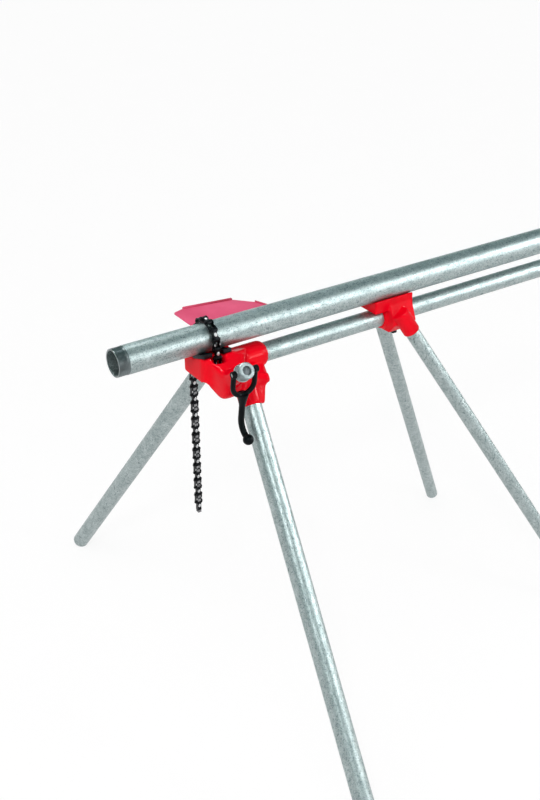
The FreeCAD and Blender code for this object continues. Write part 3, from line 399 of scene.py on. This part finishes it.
def round_axis(points):
    """The same for a cloud of points."""
    middle = points.mean(0)
    spread = np.linalg.svd(points - middle, full_matrices=False)[2][0]
    along = (points - middle) @ spread
    low, high = along.min(), along.max()
    ends = [points[np.abs(along - end) < 0.002].mean(0) for end in (low, high)]
    direction = (ends[1] - ends[0]) / np.linalg.norm(ends[1] - ends[0])
    radii = np.linalg.norm(np.cross(points - ends[0], direction), axis=1)
    return Vector(ends[0]), Vector(direction), float(np.linalg.norm(ends[1] - ends[0])), radii.max(), radii.min()


def distance_to(points, start, direction, length):
    """How far each point is from a length of axis."""
    start, direction = np.array(start), np.array(direction)
    along = np.clip((points - start) @ direction, 0, length)
    return np.linalg.norm(points - start - along[:, None] * direction, axis=1)


def web_over(balls, bars):
    """Skin stretched over balls, with round bars cut out of it."""
    mesh = bmesh.new()
    for place, radius in balls:
        bmesh.ops.create_icosphere(mesh, subdivisions=2, radius=radius, matrix=Matrix.Translation(place))
    hull = bmesh.ops.convex_hull(mesh, input=mesh.verts)
    bmesh.ops.delete(mesh, geom=[item for item in hull["geom_interior"] if isinstance(item, bmesh.types.BMVert)],
                     context="VERTS")
    data = bpy.data.meshes.new("web")
    mesh.to_mesh(data)
    mesh.free()
    web = bpy.data.objects.new("web", data)
    bpy.context.scene.collection.objects.link(web)
    tools = []
    for start, direction, length, radius in bars:
        tool = bmesh.new()
        turn = direction.to_track_quat("Z", "Y").to_matrix().to_4x4()
        place = Matrix.Translation(start + direction * length / 2) @ turn
        bmesh.ops.create_cone(tool, cap_ends=True, segments=BAR_SIDES, radius1=radius, radius2=radius,
                              depth=length, matrix=place)
        shape = bpy.data.meshes.new("bar")
        tool.to_mesh(shape)
        tool.free()
        bar = bpy.data.objects.new("bar", shape)
        bpy.context.scene.collection.objects.link(bar)
        cut = web.modifiers.new("cut", "BOOLEAN")
        cut.operation = "DIFFERENCE"
        cut.object = bar
        tools.append(bar)
    settle(web)
    shape = web.data
    for made in tools + [web]:
        bpy.data.objects.remove(made)
    return shape


def smooth_out(piece, name, rounds):
    """Smooth the points of one vertex group for some rounds."""
    flow = piece.modifiers.new("flow", "SMOOTH")
    flow.iterations = rounds
    flow.factor = 0.5
    flow.vertex_group = name
    settle(piece)


def points_of(piece):
    """Places of a piece's points."""
    return np.array([v.co for v in piece.data.vertices], float)


def melt(node, voxel, rounds, webs=(), bores=(), calm=(), swell=None):
    """Even skin over a solid and its webs, with its corners melted but its bores left alone.

    calm holds places seen along Y, and how far round them the smoothing is weaker. swell is a box's low and high
    corner, and how many more rounds of smoothing its inside gets.
    """
    mesh = welded(node)
    for web in webs:
        mesh.from_mesh(web)
    piece = dress(node + "_skin", mesh, node)
    skin = piece.modifiers.new("skin", "REMESH")
    skin.mode = "VOXEL"
    skin.voxel_size = voxel
    settle(piece)
    points = points_of(piece)
    free = np.ones(len(points))
    for start, direction, length, radius in bores:
        free[distance_to(points, start, direction, length) < radius + BORE_MARGIN] = 0.0
    for place, reach in calm:
        near = np.linalg.norm(points[:, [0, 2]] - np.array(place), axis=1) < reach
        free[near] = np.minimum(free[near], CALM_SHARE)
    group = piece.vertex_groups.new(name="free")
    for weight in (CALM_SHARE, 1.0):
        group.add(np.flatnonzero(free == weight).tolist(), weight, "REPLACE")
    smooth_out(piece, "free", rounds)
    if swell:
        points = points_of(piece)
        low, high, extra = swell
        inside = ((points > low) & (points < high)).all(1) & (free == 1.0)
        piece.vertex_groups.new(name="swell").add(np.flatnonzero(inside).tolist(), 1.0, "REPLACE")
        smooth_out(piece, "swell", extra)
    piece.vertex_groups.clear()
    piece.data.polygons.foreach_set("use_smooth", [True] * len(piece.data.polygons))
    print(piece.name, len(piece.data.vertices), "points")
    return piece


def bars_of(*nodes):
    """Axis and radius of every separate round bar in some nodes."""
    bars = []
    for node in nodes:
        for cloud in islands(node):
            start, direction, length, radius, _ = round_axis(cloud)
            bars.append((start, direction, length, float(radius)))
    return bars


def both_sides(balls):
    """The same balls on the near and the far side."""
    return [[(Vector((side * x, y, z)), radius) for (x, y, z), radius in balls] for side in (1, -1)]


HEAD_BORES = bars_of("rail_pipe", "near_front_leg", "far_front_leg", "front_leg_screws", "head_clamp_screw")
HUB_TO_LUG = [((0.020, -0.275, 0.848), 0.009), ((0.0805, -0.303, 0.852), 0.0085),
              ((0.062, -0.330, 0.850), 0.012)]
LUG_TO_MOUTH = [((0.0790, -0.307, 0.8515), 0.008), ((0.0770, -0.314, 0.850), 0.009),
                ((0.106, -0.3224, 0.8102), 0.005)]
head_webs = [web_over(balls, HEAD_BORES) for rib in (HUB_TO_LUG, LUG_TO_MOUTH) for balls in both_sides(rib)]
melt("vise_base", CAST_VOXEL, CAST_ROUNDS, head_webs, HEAD_BORES, [(HOOK_PIN, HOOK_CALM)],
     (SWELL_FROM, SWELL_TO, SWELL_ROUNDS))
REAR_BORES = bars_of("rail_pipe", "near_rear_leg", "far_rear_leg", "rear_leg_screws", "rear_clamp_screw")
melt("rear_support", CAST_VOXEL, CAST_ROUNDS // 2, (), REAR_BORES)
melt("handle", FORGED_VOXEL, FORGED_ROUNDS, (), bars_of("trunnion_pins"))

# %% [markdown]
# ## Pipes
# A pipe is a profile turned round an axis. The solids have few sides, so each pipe is turned again with many,
# and its saw-cut ends get a small bevel. A mesh of rings does it: each ring is a distance along the axis and a
# radius, and faces join each ring to the next.

# %% Turn the pipes
PIPE_SIDES = 72
CUT_BEVEL = 0.0006
CREASE = math.radians(30)


def turned(start, direction, rings):
    """Editable mesh of rings round an axis; a ring is (distance, radius) or (distance, radii per side).

    The last ring joins the first, so the rings run along the outside and back along the bore.
    """
    mesh = bmesh.new()
    across = direction.orthogonal().normalized()
    other = direction.cross(across)
    angles = [2 * math.pi * i / PIPE_SIDES for i in range(PIPE_SIDES)]
    outward = [across * math.cos(angle) + other * math.sin(angle) for angle in angles]
    loops = []
    for distance, radius in rings:
        radii = [radius] * PIPE_SIDES if isinstance(radius, float) else radius
        middle = start + direction * distance
        loops.append([mesh.verts.new(middle + way * reach) for way, reach in zip(outward, radii)])
    for first, second in zip(loops, loops[1:] + loops[:1]):
        for i in range(PIPE_SIDES):
            j = (i + 1) % PIPE_SIDES
            mesh.faces.new((first[i], first[j], second[j], second[i]))
    bmesh.ops.recalc_face_normals(mesh, faces=mesh.faces)
    return mesh


def tube_rings(length, outer, inner):
    """Rings of a plain cut pipe with small bevels on all four rims."""
    b = CUT_BEVEL
    return [(b, outer), (length - b, outer), (length, outer - b), (length, inner + b), (length - b, inner),
            (b, inner), (0.0, inner + b), (0.0, outer - b)]


for node, finish in (("rail_pipe", pipe_zinc), ("near_front_leg", leg_zinc), ("far_front_leg", leg_zinc),
                     ("near_rear_leg", leg_zinc), ("far_rear_leg", leg_zinc)):
    start, direction, length, outer, inner = axis_of(node)
    pipe = dress(node + "_tube", turned(start, direction, tube_rings(length, outer, inner)), node, finish.material)
    pipe.data.set_sharp_from_angle(angle=CREASE)
    print(pipe.name, round(length * 1000), "mm long,", round(outer * 2000, 1), "mm across")

# %% [markdown]
# ## The threaded end
# The clamped pipe ends in a cut thread, bare and dark against the zinc. A thread is a groove that climbs one
# pitch a turn, so the radius of each ring follows a wave of distance less angle. The wave fades out at the last
# turns, as it does where the die stops.

# %% Cut the thread
THREAD_PITCH = 0.0022
THREAD_DEPTH = 0.0011
THREAD_LENGTH = 0.024
THREAD_STEPS = 8
THREAD_FADE = 0.006
THREAD_SINK = 0.0006


def thread_rings(crest, first, last):
    """Rings of a helical thread between two distances, shallower at both ends."""
    steps = round((last - first) / THREAD_PITCH * THREAD_STEPS)
    rings = []
    for i in range(steps + 1):
        distance = first + (last - first) * i / steps
        run_out = (last - distance) / THREAD_FADE + 0.05
        run_in = (distance - first) / THREAD_PITCH + 0.3
        depth = THREAD_DEPTH * min(1.0, run_out, run_in)
        radii = []
        for side in range(PIPE_SIDES):
            wave = (distance / THREAD_PITCH - side / PIPE_SIDES) % 1.0
            radii.append(crest - depth * abs(2 * wave - 1))
        rings.append((distance, radii))
    return rings


start, direction, length, outer, inner = axis_of("work_pipe")
if direction.y < 0:
    start, direction = start + direction * length, -direction
crest = outer - THREAD_SINK
rings = thread_rings(crest, CUT_BEVEL, THREAD_LENGTH)
rings += [(THREAD_LENGTH, outer - CUT_BEVEL), (THREAD_LENGTH + CUT_BEVEL, outer),
          (length - CUT_BEVEL, outer), (length, outer - CUT_BEVEL), (length, inner + CUT_BEVEL),
          (length - CUT_BEVEL, inner), (CUT_BEVEL, inner), (0.0, inner + CUT_BEVEL),
          (0.0, crest - 2 * CUT_BEVEL)]
clamped = dress("work_pipe_tube", turned(start, direction, rings), "work_pipe", pipe_zinc.material)
clamped.data.materials.append(FINISHES["thread_steel"])
band_end = start.y + THREAD_LENGTH + CUT_BEVEL / 2
for face in clamped.data.polygons:
    if face.center.y < band_end:
        face.material_index = 1
clamped.data.set_sharp_from_angle(angle=CREASE)
print("thread", round(THREAD_LENGTH / THREAD_PITCH, 1), "turns")

# %% [markdown]
# ## The chain
# Each outer link is two waisted plates on two riveted pins, and each inner link is one thick waisted block between
# them. Small bright pads at each waist are partly wear, where pipes rub, and partly painted highlight. In the free
# tail the blocks run on past their pins and nearly meet. Every link is modelled along X and moved to where its
# solid
# lies. That place is found from the solid: its middle, and the direction in which it is longest.

# %% Model one outer and one inner link
PITCH = 0.020
PLATE_HALF, INNER_HALF = 0.0060, 0.0054
PLATE_THICK = 0.0022
OUTER_FACE, INNER_FACE = 0.0070, 0.0045
PIN_RADIUS, PIN_HALF = 0.0029, 0.0100
PLATE_BEVEL, BLOCK_BEVEL, RIVET_DOME = 0.0004, 0.0005, 0.0007
WAIST_SHARE = 0.86
LINK_SIDES = 20
LINK_WRAP = 304
TAIL_RUN_ON, RUN_ON_SHARE = 0.0082, 0.9
# The pads below are partly wear and partly painted highlight.
OUTER_WEAR_GLINT_PAD, OUTER_WEAR_GLINT_SINK, OUTER_WEAR_GLINT_Y = (0.0040, 0.0012, 0.0008), 0.0004, 0.00602
INNER_WEAR_GLINT_PAD, INNER_WEAR_GLINT_SINK = (0.0052, 0.0038, 0.0015), 0.0006


def waisted_outline(half):
    """Figure-eight outline round both pins, in the X-Z plane."""
    angles = [math.radians(180 + LINK_WRAP * (i / LINK_SIDES - 0.5)) for i in range(LINK_SIDES + 1)]
    arc = [(half * math.cos(angle), half * math.sin(angle)) for angle in angles]
    left = sorted((point for point in arc if point[0] <= half * 0.5), key=lambda p: math.atan2(p[1], -p[0]))
    right = [(PITCH - x, z) for x, z in reversed(left)]
    waist = half * WAIST_SHARE
    return left + [(PITCH / 2, waist)] + right + [(PITCH / 2, -waist)]


def join_loops(mesh, loops):
    """Faces between each loop and the next, and one over each end."""
    count = len(loops[0])
    for first, second in zip(loops, loops[1:]):
        for i in range(count):
            j = (i + 1) % count
            mesh.faces.new((first[i], first[j], second[j], second[i]))
    mesh.faces.new(loops[0])
    mesh.faces.new(loops[-1])


def slab_of(mesh, outline, low, high, bevel):
    """Flat plate between two distances along Y, with bevelled rims."""
    middle = Vector((sum(x for x, _ in outline) / len(outline), 0, 0))
    loops = []
    for y, shrink in ((low, bevel), (low + bevel, 0.0), (high - bevel, 0.0), (high, bevel)):
        loop = []
        for x, z in outline:
            point = Vector((x, 0, z))
            inward = (middle - point).normalized() * shrink
            loop.append(mesh.verts.new(point + inward + Vector((0, y, 0))))
        loops.append(loop)
    join_loops(mesh, loops)


def rod(mesh, x, radius, half, dome):
    """Round bar along Y about a pin, with domed ends."""
    turns = [2 * math.pi * i / LINK_SIDES for i in range(LINK_SIDES)]
    loops = []
    for y, r in ((-half, radius - dome), (-half + dome, radius), (half - dome, radius), (half, radius - dome)):
        loops.append([mesh.verts.new((x + r * math.cos(turn), y, r * math.sin(turn))) for turn in turns])
    join_loops(mesh, loops)


def wear_and_glint_pad(mesh, place, size):
    """Low bright swelling, partly wear and partly painted highlight, as an ellipsoid sunk into its face."""
    pad = bmesh.ops.create_uvsphere(mesh, u_segments=12, v_segments=6, radius=1.0)["verts"]
    bmesh.ops.transform(mesh, verts=pad, matrix=Matrix.Translation(place) @ Matrix.Diagonal((*size, 1)))
    for face in {face for vertex in pad for face in vertex.link_faces}:
        face.material_index = 1


def outer_link():
    """Two waisted plates on two riveted pins, with a pad of wear and painted highlight on each edge of each waist.
    """
    mesh = bmesh.new()
    outline = waisted_outline(PLATE_HALF)
    slab_of(mesh, outline, OUTER_FACE - PLATE_THICK, OUTER_FACE, PLATE_BEVEL)
    slab_of(mesh, outline, -OUTER_FACE, PLATE_THICK - OUTER_FACE, PLATE_BEVEL)
    for x in (0.0, PITCH):
        rod(mesh, x, PIN_RADIUS, PIN_HALF, RIVET_DOME)
    edge = PLATE_HALF * WAIST_SHARE - OUTER_WEAR_GLINT_SINK
    for side in (1, -1):
        for y in (OUTER_WEAR_GLINT_Y, -OUTER_WEAR_GLINT_Y):
            wear_and_glint_pad(mesh, (PITCH / 2, y, side * edge), OUTER_WEAR_GLINT_PAD)
    return mesh


def inner_link(run_on=0.0):
    """Waisted block with a wear and painted highlight pad on both waist edges; run_on is how far it passes its
    pins.
    """
    mesh = bmesh.new()
    slab_of(mesh, waisted_outline(INNER_HALF), -INNER_FACE, INNER_FACE, BLOCK_BEVEL)
    if run_on:
        size = (run_on, 2 * INNER_FACE - 2 * BLOCK_BEVEL, 2 * INNER_HALF * RUN_ON_SHARE, 1)
        for middle in (-run_on / 2, PITCH + run_on / 2):
            bmesh.ops.create_cube(mesh, size=1.0,
                                  matrix=Matrix.Translation((middle, 0, 0)) @ Matrix.Diagonal(size))
    for side in (1, -1):
        wear_and_glint_pad(mesh, (PITCH / 2, 0, side * (INNER_HALF * WAIST_SHARE - INNER_WEAR_GLINT_SINK)), INNER_WEAR_GLINT_PAD)
    return mesh


def tail_inner_link():
    return inner_link(TAIL_RUN_ON)


print("links", PITCH * 1000, "mm from pin to pin")

# %% Lay the links where the solid ones are
def lay_links(node, make):
    """One piece with a fine link for each coarse one of a node."""
    whole = bmesh.new()
    for cloud in islands(node):
        low, high = cloud.min(0), cloud.max(0)
        flat = cloud[:, [0, 2]] - cloud[:, [0, 2]].mean(0)
        along = np.linalg.svd(flat, full_matrices=False)[2][0]
        reach = flat @ along
        middle = cloud[:, [0, 2]].mean(0) + along * (reach.max() + reach.min()) / 2
        x_axis = Vector((along[0], 0, along[1]))
        y_axis = Vector((0, 1, 0))
        place = Matrix((x_axis, y_axis, x_axis.cross(y_axis))).transposed().to_4x4()
        place.translation = Vector((middle[0], (low[1] + high[1]) / 2, middle[1])) - x_axis * PITCH / 2
        link = make()
        link.transform(place)
        data = bpy.data.meshes.new("link")
        link.to_mesh(data)
        link.free()
        whole.from_mesh(data)
        bpy.data.meshes.remove(data)
    bmesh.ops.recalc_face_normals(whole, faces=whole.faces)
    piece = dress(node + "_fine", whole, node)
    # The second material is the pads' bright steel: partly wear, partly painted highlight.
    piece.data.materials.append(FINISHES["sheen_and_wear_steel"])
    piece.data.set_sharp_from_angle(angle=math.radians(35))
    return piece


link_nodes = sorted(node for node in SOLIDS if SLOT_OF[node] == "chain_steel")
for node in link_nodes:
    if "inner" in node or "slack" in node:
        lay_links(node, tail_inner_link if "tail" in node else inner_link)
    else:
        lay_links(node, outer_link)
print(len(link_nodes), "runs of chain")

# %% [markdown]
# ## Small machined parts
# Jaws, screws, the nut and the washer are machined, so their edges are crisp but never razor sharp. A bevel
# modifier breaks every edge by a few tenths of a millimetre, which gives each one a line of light.

# %% Break the edges of the machined parts
def break_edges(node, width):
    """Copy of a solid with its sharp edges bevelled."""
    mesh = welded(node)
    bmesh.ops.dissolve_limit(mesh, angle_limit=math.radians(1), verts=mesh.verts, edges=mesh.edges)
    piece = dress(node + "_bevelled", mesh, node)
    bevel = piece.modifiers.new("bevel", "BEVEL")
    bevel.width = width
    bevel.segments = 2
    bevel.limit_method = "ANGLE"
    bevel.angle_limit = math.radians(40)
    bevel.use_clamp_overlap = True
    settle(piece)
    piece.data.polygons.foreach_set("use_smooth", [True] * len(piece.data.polygons))
    piece.data.set_sharp_from_angle(angle=math.radians(32))
    return piece


MACHINED = {
    "front_jaw": 0.0004, "rear_jaw": 0.0004, "handle_nut": 0.0005, "thrust_washer": 0.0004,
    "trunnion_pins": 0.0005, "chain_screw": 0.0005, "head_clamp_screw": 0.0006, "rear_clamp_screw": 0.0006,
    "tray_bolts": 0.0005, "jaw_screws": 0.0004, "front_leg_screws": 0.0004, "rear_leg_screws": 0.0004,
}
for node, width in MACHINED.items():
    break_edges(node, width)
print(len(MACHINED), "machined parts")

# %% [markdown]
# ## The tray
# The tray is pressed from thin sheet, and its two lips are folded over at the top so that nobody is cut by them.
# The fold is a bead along each lip, and the lips get a darker red, painted shade where they face away from the
# light.

# %% Fold the lips of the tray
FOLD_RADIUS = 0.0030
TRAY_BEVEL = 0.0005
RIM_BAND = 0.001
SHEET_BAND = 0.002
LIP_STARTS = 0.0015
LIP_REACH = 0.02
LIP_END = 0.003
tray = break_edges("tray", TRAY_BEVEL)
corners = points_of(tray)
tray_top = corners[:, 2].max()
rim = corners[corners[:, 2] > tray_top - RIM_BAND]
outer_rim = rim[rim[:, 0] < corners[:, 0].min() + LIP_REACH]
rear_rim = rim[rim[:, 1] > corners[:, 1].max() - LIP_REACH]
sheet_top = np.median(corners[corners[:, 2] < tray_top - SHEET_BAND][:, 2])
# The second material is the lips' painted shade.
tray.data.materials.append(lip_painted_shade.material)
folded = bmesh.new()
folded.from_mesh(tray.data)
for face in folded.faces:
    # Faces above the sheet get the painted shade of the lips.
    face.material_index = 1 if face.calc_center_median().z > sheet_top + LIP_STARTS else 0
for lip, axis in ((outer_rim, 1), (rear_rim, 0)):
    along = lip[:, axis]
    ends = [lip[np.abs(along - end) < LIP_END].mean(0) for end in (along.min(), along.max())]
    first = len(folded.faces)
    folded.from_mesh(web_over([(Vector(end) - Vector((0, 0, FOLD_RADIUS)), FOLD_RADIUS) for end in ends], ()))
    folded.faces.ensure_lookup_table()
    for face in folded.faces[first:]:
        # The fold beads get the same painted shade.
        face.material_index = 1
        face.smooth = True
    print("lip", round(float(np.linalg.norm(ends[1] - ends[0])) * 1000), "mm long")
folded.to_mesh(tray.data)
folded.free()

# %% [markdown]
# ## Floor and light
# The stand is on a plain pale floor in soft studio light. Floor and sky are white to the camera and in
# reflections, and the light that falls on the stand comes from a plain sky and a few soft lamps, so colours render
# about as written. The floor mixes a little of its lit colour into the white, which is where the shadow shows.

# %% What the camera and reflections see
def seen_directly(tree):
    """Socket that is 1 for camera, glossy and transmission rays, and 0 for the light between surfaces."""
    rays = tree.nodes.new("ShaderNodeLightPath")
    total = rays.outputs["Is Camera Ray"]
    for name in ("Is Glossy Ray", "Is Transmission Ray"):
        larger = tree.nodes.new("ShaderNodeMath")
        larger.operation = "MAXIMUM"
        tree.links.new(total, larger.inputs[0])
        tree.links.new(rays.outputs[name], larger.inputs[1])
        total = larger.outputs[0]
    return total


def staged(name, mesh, finish):
    """Floor or reflector that isn't part of the stand."""
    data = bpy.data.meshes.new(name)
    mesh.to_mesh(data)
    mesh.free()
    piece = bpy.data.objects.new(name, data)
    bpy.context.scene.collection.objects.link(piece)
    data.materials.append(finish.material)
    return piece


# %% Floor
FLOOR_REACH = 14.0
FLOOR_WHITE = 0.84
WHITE = (1.0, 1.0, 1.0)
floor_mesh = bmesh.new()
bmesh.ops.create_grid(floor_mesh, x_segments=1, y_segments=1, size=FLOOR_REACH)
floor_finish = Finish("floor", Roughness=0.9)
floor_tone = floor_finish.ramp(floor_finish.noise(3), (0.3, (0.88, 0.88, 0.88)), (0.7, (0.9, 0.9, 0.9)))
floor_finish.drive(Base_Color=floor_tone)
floor_tree = floor_finish.tree
glow = floor_finish.node("ShaderNodeEmission", {}, {"Color": WHITE, "Strength": 1.0})
share = Wire(floor_finish, seen_directly(floor_tree)) * FLOOR_WHITE
lit = Wire(floor_finish, floor_finish.shader.outputs[0])
mixed = floor_finish.node("ShaderNodeMixShader", {}, {0: share, 1: lit, 2: glow})
floor_tree.links.new(mixed.socket, floor_tree.nodes["Material Output"].inputs["Surface"])
staged("floor", floor_mesh, floor_finish)
print("floor", FLOOR_REACH * 2, "m across")

# %% [markdown]
# ## The dark ceiling
# A white ceiling turns every upward face of a polished thing pale, so a dome of dim card hangs round the stand.
# Only reflections see it, so it takes no light away and throws no shadow. Its lower rim is well above the stand,
# and below it the pipes still mirror white. Round openings with soft edges let light through the card: a wide weak
# one lays a pale band along the pipes, and small strong ones put highlights on castings, legs and nut.

# %% Hang the ceiling
DOME_RADIUS = 7.0
DOME_RIM = 1.75
CARD_DARKEST_FROM = 0.7
CARD_AT_RIM = (0.26, 0.43, 0.43)
CARD_AT_TOP = (0.09, 0.19, 0.19)
# azimuth, elevation, inner and outer half width, all in degrees, and strength
OPENINGS = ((34, 25, 11, 29, 2.4), (-40, 43, 6, 11, 12.0), (190, 66, 6, 12, 24.0),
            (64, 28, 6, 11, 18.0))
dome_mesh = bmesh.new()
bmesh.ops.create_icosphere(dome_mesh, subdivisions=4, radius=DOME_RADIUS)
low = [v for v in dome_mesh.verts if v.co.z < DOME_RIM]
bmesh.ops.delete(dome_mesh, geom=low, context="VERTS")
ceiling = Finish("ceiling")
outward = ceiling.node("ShaderNodeVectorMath", {"operation": "NORMALIZE"}, {0: ceiling.place()})
height = ceiling.node("ShaderNodeSeparateXYZ", {}, {0: outward}, 2)
fade = ceiling.node("ShaderNodeMapRange", {}, {
    "Value": height, "From Min": DOME_RIM / DOME_RADIUS, "From Max": CARD_DARKEST_FROM})
card = ceiling.blend(fade, CARD_AT_RIM, CARD_AT_TOP)


def opening(azimuth, elevation, inner, outer):
    """Mask of a soft-edged round opening; angles in degrees, azimuth from +X towards +Y."""
    turn, rise = math.radians(azimuth), math.radians(elevation)
    towards = (math.cos(rise) * math.cos(turn), math.cos(rise) * math.sin(turn), math.sin(rise))
    nearness = ceiling.node("ShaderNodeVectorMath", {"operation": "DOT_PRODUCT"}, {0: outward, 1: towards}, "Value")
    return ceiling.node("ShaderNodeMapRange", {}, {
        "Value": nearness, "From Min": math.cos(math.radians(outer)), "From Max": math.cos(math.radians(inner))})


window = 0.0
for *where, power in OPENINGS:
    window = opening(*where) * power + window
dim = ceiling.node("ShaderNodeEmission", {}, {"Color": card, "Strength": 1.0})
bright = ceiling.node("ShaderNodeEmission", {}, {"Color": WHITE, "Strength": window})
both = ceiling.node("ShaderNodeAddShader", {}, {0: dim, 1: bright})
ceiling.tree.links.new(both.socket, ceiling.tree.nodes["Material Output"].inputs["Surface"])
dome = staged("ceiling", dome_mesh, ceiling)
for ray in ("camera", "diffuse", "transmission", "volume_scatter", "shadow"):
    setattr(dome, "visible_" + ray, False)
print("dome", DOME_RADIUS * 2, "m across")


# %% Lamps and sky
LIT_PLACE = Vector((0.05, -0.35, 0.85))
SUN_STRENGTH = 1.1
SUN_SPREAD = math.radians(50)
SUN_TIP, SUN_LEAN = math.radians(28), math.radians(14)
SKY_ON_STAND = 0.62


def softbox(name, place, size, power):
    """Soft lamp that faces the head casting."""
    lamp = bpy.data.lights.new(name, "AREA")
    lamp.shape = "RECTANGLE"
    lamp.size, lamp.size_y = size
    lamp.energy = power
    box = bpy.data.objects.new(name, lamp)
    box.location = place
    box.rotation_euler = (LIT_PLACE - Vector(place)).to_track_quat("-Z", "Y").to_euler()
    bpy.context.scene.collection.objects.link(box)
    return box


softbox("key", (1.9, -1.9, 3.1), (0.45, 0.3), 30).visible_glossy = False
softbox("side", (3.0, 1.4, 1.9), (0.5, 1.2), 14)
sun = bpy.data.objects.new("daylight", bpy.data.lights.new("daylight", "SUN"))
sun.data.energy = SUN_STRENGTH
sun.data.angle = SUN_SPREAD
sun.rotation_euler = (SUN_TIP, SUN_LEAN, 0)
sun.visible_glossy = False
bpy.context.scene.collection.objects.link(sun)
world = bpy.data.worlds.new("studio")
bpy.context.scene.world = world
world.use_nodes = True
sky = world.node_tree
strength = sky.nodes.new("ShaderNodeMapRange")
sky.links.new(seen_directly(sky), strength.inputs["Value"])
strength.inputs["To Min"].default_value = SKY_ON_STAND
strength.inputs["To Max"].default_value = 1.0
sky.nodes["Background"].inputs["Color"].default_value = (*WHITE, 1)
sky.links.new(strength.outputs[0], sky.nodes["Background"].inputs["Strength"])
bpy.context.scene.view_settings.view_transform = "Standard"
print("two softboxes, daylight and sky")
